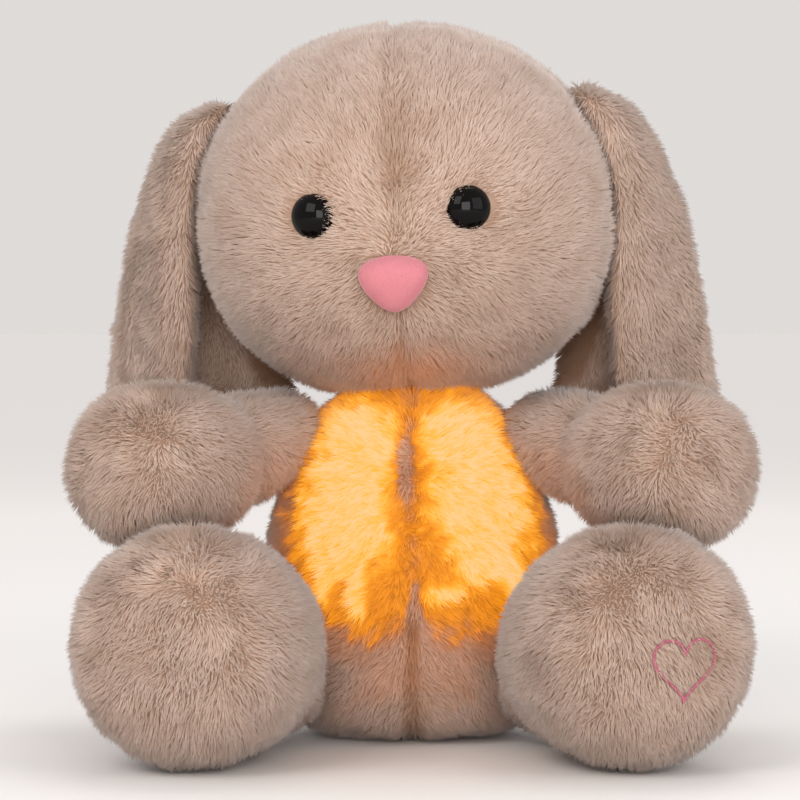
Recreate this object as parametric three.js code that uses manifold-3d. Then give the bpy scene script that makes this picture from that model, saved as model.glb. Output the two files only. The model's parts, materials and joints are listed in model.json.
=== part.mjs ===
// A seated plush rabbit with lop ears, whose belly glows and breathes.
// Millimetres, +Z up. The rabbit faces -Y and its own left side is +X.
// The origin lies on the ground, under the middle of its body.

import * as THREE from 'three';
import { mergeVertices } from 'three/addons/utils/BufferGeometryUtils.js';
import Module from 'manifold-3d';

const wasm = await Module();
wasm.setup();

const DEGREE = Math.PI / 180;
const FULL_TURN = 2 * Math.PI;

// Clearances, walls and cutters that many pieces share
const gap = 0.3;
const softGap = 0.5;
const fillingGap = 0.4;
const furWall = 4.5;
const overrun = 20;
const boreClearance = 0.3;
const rodSides = 12;
const discSides = 16;

// Body: a sack that swells at the hips, with a round back and a domed neck
const torso = {
  height: 158,
  halfWidth: 63,
  front: 58,
  backRadius: 110,
  backCentreY: -60,
  backCentreZ: 75,
  planPower: 2.2,
  sides: 20,
};
// Each row: height, half width and front depth, as shares of the body's own
const torsoShares = [
  [0, 0.6, 0.62],
  [0.06, 0.82, 0.84],
  [0.14, 0.93, 0.95],
  [0.26, 0.99, 1],
  [0.4, 1, 1],
  [0.54, 0.97, 0.95],
  [0.66, 0.89, 0.86],
  [0.76, 0.79, 0.75],
  [0.84, 0.66, 0.6],
  [0.9, 0.49, 0.45],
];
const neck = { y: -3, z: 118, domeRadius: 40, cushionGap: 0.4, cushionWall: 3.4, cushionReach: 28 };

// Head: an egg, squarer below, carried on the neck's dome
const head = {
  side: 3,
  forward: -1,
  up: 102,
  halfWidth: 88,
  halfDepth: 80,
  halfHeight: 78.5,
  upperPower: 2,
  lowerPower: 2.35,
  planPower: 2.1,
  sides: 22,
  rings: 10,
  tilt: -3,
  turn: -5,
  tiltSwing: 4,
};

// Lop ears, sewn on at the top of the head and hanging beside it
const ear = {
  hingeSide: 69,
  hingeUp: 49,
  top: 50,
  length: 198,
  halfWidth: 35,
  halfThickness: 6,
  back: 42,
  rootTurn: 78,
  tipTurn: 49,
  flare: 6,
  power: 2.4,
  sides: 10,
  swing: 60,
};
// Each row: way down the ear, distance out as a share of half the head, width
const earShares = [
  [0, 0.795, 0.4],
  [0.05, 0.955, 0.57],
  [0.15, 1.068, 0.74],
  [0.28, 1.125, 0.89],
  [0.45, 1.16, 0.97],
  [0.66, 1.19, 1],
  [0.83, 1.216, 0.89],
  [0.94, 1.227, 0.57],
  [1, 1.227, 0.12],
];

// Arms and legs: each swells from a round root towards its paw
const arm = {
  side: 56,
  forward: -8,
  up: 125,
  rootRadius: 21,
  reach: 74,
  rise: -10,
  halfWidth: 36,
  halfHeight: 35,
  splay: 38.4,
  swing: 24,
  sides: 14,
};
const armShares = [
  [0, 0.6],
  [0.3, 0.7],
  [0.6, 0.88],
  [0.85, 0.98],
  [1, 1],
  [1.16, 0.97],
  [1.28, 0.87],
  [1.38, 0.7],
  [1.44, 0.42],
  [1.46, 0.1],
];
const leg = {
  side: 55,
  forward: -34,
  up: 30,
  rootRadius: 24,
  reach: 79.9,
  rise: 18,
  halfWidth: 47.5,
  halfHeight: 48.5,
  splay: 21.3,
  swing: 14,
  sides: 16,
};
const legShares = [
  [0, 0.55],
  [0.25, 0.66],
  [0.5, 0.82],
  [0.75, 0.94],
  [1, 1],
  [1.18, 0.97],
  [1.32, 0.88],
  [1.43, 0.73],
  [1.5, 0.5],
  [1.526, 0.12],
];
const tail = { radius: 15, up: 20, standOff: 9 };

// Belly panel that the lift plate pushes out
const belly = { halfWidth: 45, halfHeight: 41, up: 98, sides: 24, moveGap: 0.8 };
const breath = { angle: 6, camTurn: 180 };

// Eyes and nose: a domed button, a stem through the fur and a lock washer
const eye = {
  side: 32,
  up: -3,
  radius: 9,
  seatRadius: 9.4,
  rise: 6,
  sink: 3,
  stemRadius: 2.5,
  stemLength: 12,
};
const nose = {
  up: -31,
  halfWidth: 13.5,
  halfHeight: 11.5,
  seatRadius: 14.8,
  rise: 6,
  sink: 3,
  stemRadius: 3,
  stemLength: 12,
};
// Nose outline: how much wider its top is, and how much flatter
const noseTopShares = { wider: 0.3, flatter: 0.1 };
// Each row: width and height of the nose's dome
const noseDomeShares = [
  [1, 0],
  [0.97, 0.3],
  [0.84, 0.65],
  [0.58, 0.9],
  [0.15, 1],
];
const washer = { radius: 9, thickness: 2, under: 0.4 };
const faceHole = { clearance: 0.4, floor: 1.2 };

// Heart stitched on the sole of the left foot, and the switch behind it
const heart = { halfWidth: 13, threadRadius: 0.8, side: 4, up: -4, steps: 36, threadSides: 5 };
// The usual heart curve's terms, in its own measure of half a width
const heartShares = { halfWidth: 16, rise: 13, lobes: 5, sides: 2, tip: 1 };
const footSwitch = { radius: 12, depth: 8, buttonRadius: 8, buttonDepth: 3, travel: 1.2 };
const lead = {
  radius: 1.5,
  clearance: 0.4,
  sides: 6,
  legSteps: 14,
  bodySteps: 8,
  straight: 4,
  bendReach: 13.5,
  bendRise: 6,
};

// Zip in the back seam, its bands concentric with the back
const zip = {
  bottom: 40,
  top: 134,
  tapeInner: 2.8,
  tapeOuter: 9,
  tapeDepth: 2.5,
  tapeThickness: 1,
  teethHalfWidth: 2.5,
  teethDepth: 2.7,
  teethThickness: 1.7,
  steps: 12,
  slitHalfWidth: 6,
};
const slider = {
  angle: 30,
  halfWidth: 4.2,
  halfLength: 5,
  bottom: -0.7,
  thickness: 1.5,
  postInner: 2.2,
  postWidth: 1,
  postTop: 3.4,
  postHalfLength: 0.8,
  barOut: 2.8,
  barRadius: 0.6,
};
const pull = { eyeRadius: 1.5, eyeHalfWidth: 1.9, halfWidth: 2.4, thickness: 1.2, length: 16, start: 1.5 };

// Electronics module, in its own frame: x sideways, y back, z up
const module = {
  forward: -25,
  up: 45,
  halfWidth: 33,
  depth: 50,
  height: 70,
  wall: 2,
  split: 30,
};
const pouch = { gap: 0.4, wall: 1.2 };
const plate = {
  halfWidth: 22,
  front: -4,
  thickness: 2.5,
  bottom: 7,
  top: 66,
  barrelRadius: 2.2,
  barrelHalfWidth: 12,
  hingeY: -2.75,
  hingeZ: 3,
  pinRadius: 1,
  lugWidth: 3.6,
  lugDepth: 5,
  lugHeight: 6,
};
const roller = { y: 9.5, radius: 2, left: -4.9, right: -0.8, studRadius: 0.8 };
const armBar = { left: -0.4, right: 1.8, halfHeight: 4.5, past: 2 };
const window = { left: -9, right: 3, halfHeight: 8 };

// Gear train from the motor's worm to the heart cam
const gears = { module: 0.6, addendum: 0.5, dedendum: 0.8, rootShare: 0.31, tipShare: 0.13 };
const cam = {
  y: 16,
  z: 49.64,
  teeth: 38,
  gearLeft: -9.5,
  gearRight: -5.5,
  right: -0.7,
  play: 0.15,
  steps: 40,
};
const compound = {
  wheelTeeth: 22,
  pinionTeeth: 12,
  y: 21,
  z: 35.5,
  wheelLeft: -21.5,
  wheelRight: -18.5,
  pinionLeft: -10.5,
  pinionRight: -4.5,
};
const axle = { radius: 1, left: -27.5, right: 5 };
const worm = {
  pitchRadius: 2.4,
  tipRadius: 2.85,
  rootRadius: 1.65,
  bottom: 31,
  top: 40,
  lead: 1.885,
  sides: 8,
  ringsPerTurn: 6,
  threadShare: 0.75,
};
const motor = {
  x: -20,
  y: 12,
  radius: 10,
  halfFlat: 7.7,
  bottom: 3,
  top: 28,
  bossRadius: 3,
  bossHeight: 1.7,
  shaftRadius: 1,
  shaftDepth: 4,
};
const gearFrame = {
  left: -27,
  plateWidth: 2,
  rightPlate: 2.5,
  front: 6,
  back: 30,
  webThickness: 1.2,
  bottom: 31,
  top: 60,
};

// Battery bay, cells and contacts
const cell = {
  radius: 7.2,
  length: 50.5,
  nubRadius: 2.75,
  nubHeight: 1,
  pitch: 15,
  y: 39.4,
  bottom: 5.2,
  sides: 16,
};
const bay = { divider: 1.5, wall: 1.5, halfWidth: 23.1, roofZ: 60.5, wireNotch: 4 };
const door = { halfWidth: 24.7, thickness: 1.7, screwZ: 65 };
const contact = {
  thickness: 0.5,
  halfWidth: 5,
  depth: 10,
  springRadius: 2.2,
  wireRadius: 0.4,
  wireSides: 4,
  turns: 2.5,
  springSteps: 16,
};
const screw = { headRadius: 2.5, headHeight: 1.6, radius: 1.2, z: 16, x: 28, length: 24 };
const boss = { radius: 3.1, frontDepth: 8 };

// Sound, light and control parts
const speaker = { x: 17, z: 18, radius: 13.5, front: 2.4, rim: 2, magnetRadius: 8, depth: 11.6, sides: 18 };
const soundHole = { radius: 1.4, ring: 7, count: 6, sides: 8 };
const board = { left: 9, right: 30.7, bottom: 41, top: 66, y: 24, thickness: 1.6 };
const chip = { halfWidth: 4, halfHeight: 4, thickness: 1.4, x: 17, z: 56 };
const plug = { halfWidth: 5, halfHeight: 2.2, thickness: 4, x: 22, z: 45.5 };
const glow = {
  x: 26.5,
  z: 47,
  radius: 2.4,
  out: 0.6,
  boardHalfWidth: 4,
  boardHalfHeight: 8,
  boardThickness: 1.6,
};
const modeSwitch = {
  x: 14,
  y: 40,
  halfWidth: 6,
  halfDepth: 4,
  height: 5.2,
  knobHalfWidth: 2,
  knobHalfDepth: 1.2,
  knobRise: 1.6,
  travel: 2.5,
};

// Colours and finishes
const finish = (color, roughness, metalness = 0) =>
  new THREE.MeshStandardMaterial({ color, roughness, metalness });
const furFinish = finish(0xb9a394, 0.95);
const fillingFinish = finish(0xf2f0ea, 0.9);
const glowFurFinish = finish(0xe8904c, 0.9);
const glossBlackFinish = finish(0x0c0b0b, 0.08);
const flockFinish = finish(0xd69487, 0.85);
const threadFinish = finish(0xd98f86, 0.6);
const tapeFinish = finish(0x8a7668, 0.9);
const zipToothFinish = finish(0x9a8474, 0.5);
const shellFinish = finish(0xe9e7e1, 0.45);
const clearPlasticFinish = finish(0xf4ead8, 0.3);
const gearFinish = finish(0xf1efe6, 0.4);
const steelFinish = finish(0xb4b6b8, 0.3, 1);
const blackPlasticFinish = finish(0x1c1d1f, 0.5);
const boardFinish = finish(0x1d5a38, 0.5);
const cellFinish = finish(0x32465a, 0.35, 0.4);
const leadFinish = finish(0x2a2a2c, 0.6);

// Welds a geometry, drops faces without area and points the rest outwards
function weld(geometry) {
  const bare = new THREE.BufferGeometry();
  bare.setAttribute('position', geometry.getAttribute('position').clone());
  if (geometry.index) {
    bare.setIndex(geometry.index.clone());
  }
  const merged = mergeVertices(bare);
  const position = merged.getAttribute('position');
  const kept = [];
  let volume = 0;
  const a = new THREE.Vector3();
  const b = new THREE.Vector3();
  const c = new THREE.Vector3();
  for (let i = 0; i < merged.index.count; i += 3) {
    const [p, q, r] = [merged.index.getX(i), merged.index.getX(i + 1), merged.index.getX(i + 2)];
    if (p !== q && q !== r && r !== p) {
      kept.push(p, q, r);
      a.fromBufferAttribute(position, p);
      b.fromBufferAttribute(position, q);
      c.fromBufferAttribute(position, r);
      volume += a.dot(b.cross(c));
    }
  }
  if (volume < 0) {
    kept.reverse();
  }
  merged.setIndex(kept);
  return merged;
}

function toSolid(geometry) {
  const welded = weld(geometry);
  return new wasm.Manifold(
    new wasm.Mesh({
      numProp: 3,
      vertProperties: new Float32Array(welded.getAttribute('position').array),
      triVerts: new Uint32Array(welded.index.array),
    }),
  );
}

function toGeometry(solid) {
  const mesh = solid.getMesh();
  const geometry = new THREE.BufferGeometry();
  geometry.setAttribute('position', new THREE.BufferAttribute(new Float32Array(mesh.vertProperties), 3));
  geometry.setIndex(new THREE.BufferAttribute(new Uint32Array(mesh.triVerts), 1));
  geometry.computeVertexNormals();
  return geometry;
}

const join = (...shapes) => toGeometry(shapes.map(toSolid).reduce((sum, next) => sum.add(next)));
const cut = (shape, ...cutters) =>
  toGeometry(cutters.map(toSolid).reduce((left, next) => left.subtract(next), toSolid(shape)));
const meet = (...shapes) => toGeometry(shapes.map(toSolid).reduce((both, next) => both.intersect(next)));

const moved = (shape, x, y, z) => shape.clone().translate(x, y, z);
const placed = (shape, matrix) => shape.clone().applyMatrix4(matrix);
const shift = (x, y, z) => new THREE.Matrix4().makeTranslation(x, y, z);
const turnX = (angle) => new THREE.Matrix4().makeRotationX(angle);
const turnY = (angle) => new THREE.Matrix4().makeRotationY(angle);
const turnZ = (angle) => new THREE.Matrix4().makeRotationZ(angle);
const chain = (...steps) => steps.reduce((all, next) => all.multiply(next), new THREE.Matrix4());

// A closed surface through rings of equal count. A looped stack joins its
// last ring to its first; any other is closed over the middles of its ends.
function loft(rings, looped = false) {
  const sides = rings[0].length;
  const points = rings.flat();
  const faces = [];
  const spans = looped ? rings.length : rings.length - 1;
  for (let r = 0; r < spans; r += 1) {
    for (let s = 0; s < sides; s += 1) {
      const near = r * sides;
      const far = ((r + 1) % rings.length) * sides;
      const next = (s + 1) % sides;
      faces.push(near + s, near + next, far + next, near + s, far + next, far + s);
    }
  }
  if (!looped) {
    const last = (rings.length - 1) * sides;
    const middle = (ring) =>
      ring.reduce((sum, point) => sum.add(point), new THREE.Vector3()).divideScalar(sides);
    points.push(middle(rings[0]), middle(rings[rings.length - 1]));
    for (let s = 0; s < sides; s += 1) {
      const next = (s + 1) % sides;
      faces.push(points.length - 2, next, s, points.length - 1, last + s, last + next);
    }
  }
  const geometry = new THREE.BufferGeometry().setFromPoints(points);
  geometry.setIndex(faces);
  return weld(geometry);
}

// A point on a superellipse of power 2 and above, for a unit size
const bulge = (value, power) => Math.sign(value) * Math.abs(value) ** (2 / power);

function box(x0, x1, y0, y1, z0, z1) {
  return new THREE.BoxGeometry(x1 - x0, y1 - y0, z1 - z0).translate(
    (x0 + x1) / 2,
    (y0 + y1) / 2,
    (z0 + z1) / 2,
  );
}

// Rods along each axis, from one place on it to another
function rodX(radius, x0, x1, y, z, sides = rodSides) {
  const shape = new THREE.CylinderGeometry(radius, radius, x1 - x0, sides);
  return shape.rotateZ(Math.PI / 2).translate((x0 + x1) / 2, y, z);
}

function rodY(radius, y0, y1, x, z, sides = rodSides) {
  const shape = new THREE.CylinderGeometry(radius, radius, y1 - y0, sides);
  return shape.translate(x, (y0 + y1) / 2, z);
}

function rodZ(radius, z0, z1, x, y, sides = rodSides) {
  const shape = new THREE.CylinderGeometry(radius, radius, z1 - z0, sides);
  return shape.rotateX(Math.PI / 2).translate(x, y, (z0 + z1) / 2);
}

// A ball, and a hollow whose flats all clear a ball of the same radius
const ball = (radius, x, y, z, sides = discSides) =>
  new THREE.SphereGeometry(radius, sides, sides / 2).rotateX(Math.PI / 2).translate(x, y, z);
const hollow = (radius, x, y, z, sides = discSides) =>
  ball(radius / Math.cos(Math.PI / sides) ** 2, x, y, z, sides);

const axisX = new THREE.Vector3(1, 0, 0);
const axisY = new THREE.Vector3(0, 1, 0);
const axisZ = new THREE.Vector3(0, 0, 1);

function slab(outline, depth) {
  const shape = new THREE.Shape(outline.map(([across, up]) => new THREE.Vector2(across, up)));
  return new THREE.ExtrudeGeometry(shape, { depth, bevelEnabled: false });
}

// A flat outline of [y, z] places, run along X
function slabX(outline, x0, x1) {
  const turned = new THREE.Matrix4().makeBasis(axisY, axisZ, axisX);
  return weld(slab(outline, x1 - x0).applyMatrix4(turned).translate(x0, 0, 0));
}

// A flat outline of [x, z] places, run along Y
function slabY(outline, y0, y1) {
  const turned = new THREE.Matrix4().makeBasis(axisX, axisZ, axisY);
  return weld(slab(outline, y1 - y0).applyMatrix4(turned).translate(0, y0, 0));
}

// The sine under which two unit directions count as parallel
const nearlyParallel = 0.1;

// A round tube along points; an open one ends square to its first and last run
function tube(points, radius, sides, looped = false) {
  const count = points.length;
  let across = axisZ;
  const rings = points.map((point, i) => {
    const before = points[looped ? (i + count - 1) % count : Math.max(i - 1, 0)];
    const after = points[looped ? (i + 1) % count : Math.min(i + 1, count - 1)];
    const along = after.clone().sub(before).normalize();
    const side = new THREE.Vector3().crossVectors(along, across);
    if (side.length() < nearlyParallel) {
      side.crossVectors(along, axisY);
    }
    side.normalize();
    across = new THREE.Vector3().crossVectors(side, along).normalize();
    return Array.from({ length: sides }, (unused, k) => {
      const angle = (k / sides) * FULL_TURN;
      return point
        .clone()
        .addScaledVector(side, radius * Math.cos(angle))
        .addScaledVector(across, radius * Math.sin(angle));
    });
  });
  return loft(rings, looped);
}

// The scene graph: the rabbit, its head on the neck's pivot, and the rest
const rabbit = new THREE.Group();
rabbit.name = 'rabbit';

function addGroup(parent, name, x, y, z) {
  const group = new THREE.Group();
  group.name = name;
  group.position.set(x, y, z);
  parent.add(group);
  return group;
}

function addPiece(parent, name, geometry, material) {
  const mesh = new THREE.Mesh(geometry, material);
  mesh.name = name;
  parent.add(mesh);
  return mesh;
}

const headGroup = addGroup(rabbit, 'head_pivot', 0, neck.y, neck.z);
headGroup.rotation.set(0, head.tilt * DEGREE, head.turn * DEGREE);
const moduleGroup = addGroup(rabbit, 'module_frame', 0, module.forward, module.up);

// Body form, grown or shrunk by a wall
const backDepth = (z, grow) =>
  Math.sqrt((torso.backRadius + grow) ** 2 - (z - torso.backCentreZ) ** 2) + torso.backCentreY;

function torsoForm(grow, sides = torso.sides) {
  const rings = torsoShares.map(([up, wide, deep]) => {
    const z = up === 0 ? -grow : up * torso.height;
    const back = backDepth(z, grow);
    return Array.from({ length: sides }, (unused, k) => {
      const angle = (k / sides) * FULL_TURN;
      const across = bulge(Math.cos(angle), torso.planPower);
      const along = bulge(Math.sin(angle), torso.planPower);
      const depth = along < 0 ? deep * torso.front + grow : back;
      return new THREE.Vector3((wide * torso.halfWidth + grow) * across, depth * along, z);
    });
  });
  return join(loft(rings), ball(neck.domeRadius + grow, 0, neck.y, neck.z, sides));
}

// Limb form in its own frame, -Y along the limb from the root's centre
function limbCentreZ(limb, along) {
  return limb.rise * Math.sin((Math.min(along, 1) * Math.PI) / 2);
}

function limbForm(limb, shares, grow = 0) {
  const rings = shares.map(([along, fat]) =>
    Array.from({ length: limb.sides }, (unused, k) => {
      const angle = (k / limb.sides) * FULL_TURN;
      return new THREE.Vector3(
        (fat * limb.halfWidth + grow) * Math.cos(angle),
        -along * (limb.reach + grow),
        limbCentreZ(limb, along) + (fat * limb.halfHeight + grow) * Math.sin(angle),
      );
    }),
  );
  return loft(rings);
}

// The limb's matrix when it has swung by an angle
const armMatrix = (side, angle) =>
  chain(
    shift(side * arm.side, arm.forward, arm.up),
    turnX(-angle * DEGREE),
    turnZ(side * arm.splay * DEGREE),
  );
const legMatrix = (side, angle) =>
  chain(shift(side * leg.side, leg.forward, leg.up), turnZ(side * (leg.splay - angle) * DEGREE));

// Takes out of a limb what a neighbour needs at rest, half way and at the limit
function swungShields(limb, matrixAt, neighbour) {
  const stops = [0, limb.swing / 2, limb.swing];
  return stops.map((angle) => placed(neighbour, matrixAt(angle).invert()));
}

// Head form about its own middle
function headForm(grow, sides = head.sides) {
  const rings = [];
  for (let r = 0; r <= head.rings; r += 1) {
    const rise = -Math.PI / 2 + (r / head.rings) * Math.PI;
    const power = rise < 0 ? head.lowerPower : head.upperPower;
    const z = (head.halfHeight + grow) * bulge(Math.sin(rise), power);
    const fat = Math.max(Math.cos(rise), 0) ** (2 / power);
    rings.push(
      Array.from({ length: sides }, (unused, k) => {
        const angle = (k / sides) * FULL_TURN;
        return new THREE.Vector3(
          fat * (head.halfWidth + grow) * bulge(Math.cos(angle), head.planPower),
          fat * (head.halfDepth + grow) * bulge(Math.sin(angle), head.planPower),
          z,
        );
      }),
    );
  }
  return moved(loft(rings), head.side, head.forward, head.up);
}

const headMatrix = (extraTilt) =>
  chain(
    shift(0, neck.y, neck.z),
    turnY((head.tilt + extraTilt) * DEGREE),
    turnZ(head.turn * DEGREE),
  );
const headShield = headForm(softGap);
const bodyShield = torsoForm(softGap);

function armSolid(side) {
  const matrixAt = (angle) => armMatrix(side, angle);
  const foot = placed(limbForm(leg, legShares, softGap), legMatrix(side, 0));
  const tilts = [-head.tiltSwing, 0, head.tiltSwing];
  const shields = [
    ...swungShields(arm, matrixAt, bodyShield),
    ...swungShields(arm, matrixAt, placed(headShield, headMatrix(0))),
    ...tilts.map((angle) => placed(headShield, matrixAt(0).invert().multiply(headMatrix(angle)))),
    placed(foot, matrixAt(0).invert()),
  ];
  return join(cut(limbForm(arm, armShares), ...shields), ball(arm.rootRadius, 0, 0, 0));
}

function legSolid(side) {
  const shields = swungShields(leg, (angle) => legMatrix(side, angle), bodyShield);
  const whole = join(cut(limbForm(leg, legShares), ...shields), ball(leg.rootRadius, 0, 0, 0));
  const reach = leg.reach * 2;
  const ground = box(-reach, reach, -reach, reach, -leg.up - reach, -leg.up);
  return cut(whole, ground);
}

const sides = [
  ['left', 1],
  ['right', -1],
];

// Sockets in the body for the round roots of the arms and legs
const sockets = sides.flatMap(([, side]) => [
  hollow(arm.rootRadius + gap, side * arm.side, arm.forward, arm.up),
  hollow(leg.rootRadius + gap, side * leg.side, leg.forward, leg.up),
]);

// Belly panel, and the room that it sweeps as it breathes
const bellyOutline = Array.from({ length: belly.sides }, (unused, k) => {
  const angle = (k / belly.sides) * FULL_TURN;
  return [belly.halfWidth * Math.cos(angle), belly.up + belly.halfHeight * Math.sin(angle)];
});
const grownBellyOutline = Array.from({ length: belly.sides }, (unused, k) => {
  const angle = (k / belly.sides) * FULL_TURN;
  return [
    (belly.halfWidth + belly.moveGap) * Math.cos(angle),
    belly.up + (belly.halfHeight + belly.moveGap) * Math.sin(angle),
  ];
});
const bellyBack = module.forward + plate.front - fillingGap;
const bellyPad = cut(
  meet(torsoForm(0), slabY(bellyOutline, bellyBack - torso.front, bellyBack)),
  ...sockets,
);
const bellyRoom = slabY(grownBellyOutline, bellyBack - torso.front, bellyBack + belly.moveGap);
const plateHingeY = module.forward + plate.hingeY;
const plateHingeZ = module.up + plate.hingeZ;
const breathMatrix = (angle) =>
  chain(
    shift(0, plateHingeY, plateHingeZ),
    turnX(angle * DEGREE),
    shift(0, -plateHingeY, -plateHingeZ),
  );
const plateRoom = box(
  -plate.halfWidth - belly.moveGap,
  plate.halfWidth + belly.moveGap,
  module.forward + plate.front - belly.moveGap,
  module.forward,
  module.up + plate.hingeZ,
  module.up + plate.top + belly.moveGap,
);
const breathRoom = (room) => [room, placed(room, breathMatrix(breath.angle))];

// Lead from the foot's switch to the module, in two lengths that meet at the hip
const hipLeadStart = leg.rootRadius + softGap + gap;
const footSwitchFront = -legShares[legShares.length - 1][0] * leg.reach + furWall + gap;
const switchHousingFront = footSwitchFront + gap;
const switchHousingBack = switchHousingFront + footSwitch.depth;
const footSwitchUp = leg.rise + heart.up;
const legLeadPoints = [
  new THREE.Vector3(heart.side, switchHousingBack + gap, footSwitchUp),
  new THREE.Vector3(heart.side, -leg.reach, footSwitchUp),
  new THREE.Vector3(heart.side, -leg.reach / 2, footSwitchUp / 2),
  new THREE.Vector3(0, -leg.rootRadius / 2, 0),
  new THREE.Vector3(0, leg.rootRadius + overrun, 0),
];
const legLeadRoute = new THREE.CatmullRomCurve3(legLeadPoints, false, 'centripetal');
const legLeadEnd = leg.rootRadius;
const torsoLeadPoints = [
  new THREE.Vector3(0, hipLeadStart, 0),
  new THREE.Vector3(0, hipLeadStart + lead.straight, 0),
  new THREE.Vector3(softGap, hipLeadStart + lead.bendReach, lead.bendRise),
].map((point) => point.applyMatrix4(legMatrix(1, 0)));
const torsoLeadTop = torsoLeadPoints[torsoLeadPoints.length - 1].clone();
torsoLeadTop.z = module.up - pouch.gap - pouch.wall - gap;
torsoLeadPoints.push(torsoLeadTop);
const torsoLeadRoute = new THREE.CatmullRomCurve3(torsoLeadPoints, false, 'centripetal');

function leadTube(route, radius, steps) {
  return tube(route.getSpacedPoints(steps), radius, lead.sides);
}

// Places in the body for the module in its pouch
const roomSide = module.halfWidth + pouch.gap + pouch.wall + fillingGap;
const roomBottom = module.up - pouch.gap - pouch.wall - fillingGap;
const roomTop = module.up + module.height + pouch.gap + pouch.wall + fillingGap;
const roomBack = module.forward + module.depth + pouch.gap + pouch.wall + fillingGap;
const roomFront = module.forward - plate.lugDepth - gap;
const moduleRoom = box(-roomSide, roomSide, roomFront, roomBack, roomBottom, roomTop);

// A band across the back, between two radii of the back's arc
function backBand(x0, x1, inner, outer, low, high) {
  const from = Math.asin((low - torso.backCentreZ) / torso.backRadius);
  const to = Math.asin((high - torso.backCentreZ) / torso.backRadius);
  const arcAt = (radius, share) => {
    const angle = from + (to - from) * share;
    return [
      torso.backCentreY + radius * Math.cos(angle),
      torso.backCentreZ + radius * Math.sin(angle),
    ];
  };
  const shares = Array.from({ length: zip.steps + 1 }, (unused, k) => k / zip.steps);
  const outline = [
    ...shares.map((share) => arcAt(outer, share)),
    ...shares.map((share) => arcAt(inner, 1 - share)),
  ];
  return slabX(outline, x0, x1);
}

const zipRoom = backBand(
  -zip.tapeOuter - gap,
  zip.tapeOuter + gap,
  torso.backRadius - furWall - gap,
  torso.backRadius + overrun,
  zip.bottom - gap,
  zip.top + gap,
);
const zipSlit = box(
  -zip.slitHalfWidth,
  zip.slitHalfWidth,
  roomBack - gap,
  roomBack + overrun * 2,
  roomBottom,
  roomTop,
);
const torsoLeadRoom = leadTube(torsoLeadRoute, lead.radius + lead.clearance, lead.bodySteps);

// Body: skin and filling
const torsoInner = torsoForm(-furWall);
const torsoSkin = cut(torsoForm(0), torsoInner, ...sockets, ...breathRoom(bellyRoom), zipRoom);
const torsoFilling = cut(
  torsoForm(-furWall - fillingGap, torso.sides / 2),
  ...sockets,
  ...breathRoom(bellyRoom),
  ...breathRoom(plateRoom),
  moduleRoom,
  zipSlit,
  torsoLeadRoom,
);
addPiece(rabbit, 'torso_skin', torsoSkin, furFinish);
addPiece(rabbit, 'torso_filling', torsoFilling, fillingFinish);
addPiece(rabbit, 'belly_pad', bellyPad, glowFurFinish);

// Tail, seated on the back low down
const tailBack = backDepth(tail.up, 0) + tail.standOff;
const tailShape = cut(ball(tail.radius, 0, tailBack, tail.up), torsoForm(gap));
addPiece(rabbit, 'tail', tailShape, furFinish);

// Neck cushion between the body's dome and the head's recess
const cushionInner = neck.domeRadius + neck.cushionGap;
const cushionOuter = cushionInner + neck.cushionWall;
const cushionShape = meet(
  cut(ball(cushionOuter, 0, 0, 0, torso.sides), hollow(cushionInner, 0, 0, 0, torso.sides)),
  rodZ(neck.cushionReach, 0, cushionOuter * 2, 0, 0, torso.sides),
);
addPiece(headGroup, 'neck_cushion', cushionShape, furFinish);

// Depth of the face at a place across and above the head's middle
function faceY(x, z) {
  const power = z < 0 ? head.lowerPower : head.upperPower;
  const fat = (1 - (Math.abs(z) / head.halfHeight) ** power) ** (1 / power);
  const across = Math.abs(x) / (fat * head.halfWidth);
  return -fat * head.halfDepth * (1 - across ** head.planPower) ** (1 / head.planPower);
}

// The frame of a face button: origin on the fur's surface, +Z straight out
function faceFrame(x, z) {
  const step = head.halfWidth / 1000;
  const slopeX = (faceY(x + step, z) - faceY(x - step, z)) / (2 * step);
  const slopeZ = (faceY(x, z + step) - faceY(x, z - step)) / (2 * step);
  const out = new THREE.Vector3(slopeX, -1, slopeZ).normalize();
  const side = new THREE.Vector3().crossVectors(axisZ, out).normalize();
  const up = new THREE.Vector3().crossVectors(out, side);
  const matrix = new THREE.Matrix4().makeBasis(side, up, out);
  matrix.setPosition(head.side + x, head.forward + faceY(x, z), head.up + z);
  return matrix;
}

// A turned piece about +Z from [radius, height] points
const lathe = (profile, steps) =>
  new THREE.LatheGeometry(
    profile.map(([r, h]) => new THREE.Vector2(r, h)),
    steps,
  ).rotateX(Math.PI / 2);

function eyeShape() {
  const dome = [];
  const domeSteps = 5;
  for (let k = 0; k <= domeSteps; k += 1) {
    const angle = ((k / domeSteps) * Math.PI) / 2;
    dome.push([eye.radius * Math.cos(angle), -eye.sink + eye.rise * Math.sin(angle)]);
  }
  dome[dome.length - 1][0] = 0;
  const stem = [
    [0, -eye.sink - eye.stemLength],
    [eye.stemRadius, -eye.sink - eye.stemLength],
    [eye.stemRadius, -eye.sink],
  ];
  return lathe([...stem, ...dome], discSides);
}

// Nose: a rounded triangle, point down, domed towards its middle
function noseRing(share, height) {
  const points = 18;
  return Array.from({ length: points }, (unused, k) => {
    const angle = (k / points) * FULL_TURN;
    const wide = Math.cos(angle) * (1 + noseTopShares.wider * Math.sin(angle));
    const tall = Math.sin(angle) * (1 - noseTopShares.flatter * Math.sin(angle));
    return new THREE.Vector3(share * nose.halfWidth * wide, share * nose.halfHeight * tall, height);
  });
}

function noseShape() {
  const full = nose.sink + nose.rise;
  return loft(noseDomeShares.map(([wide, up]) => noseRing(wide, -nose.sink + up * full)));
}

function washerShape(stemRadius) {
  const top = -furWall - fillingGap;
  const disc = rodZ(washer.radius, top - washer.thickness, top, 0, 0, discSides);
  return cut(disc, rodZ(stemRadius + boreClearance, -overrun, 0, 0, 0));
}

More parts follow.
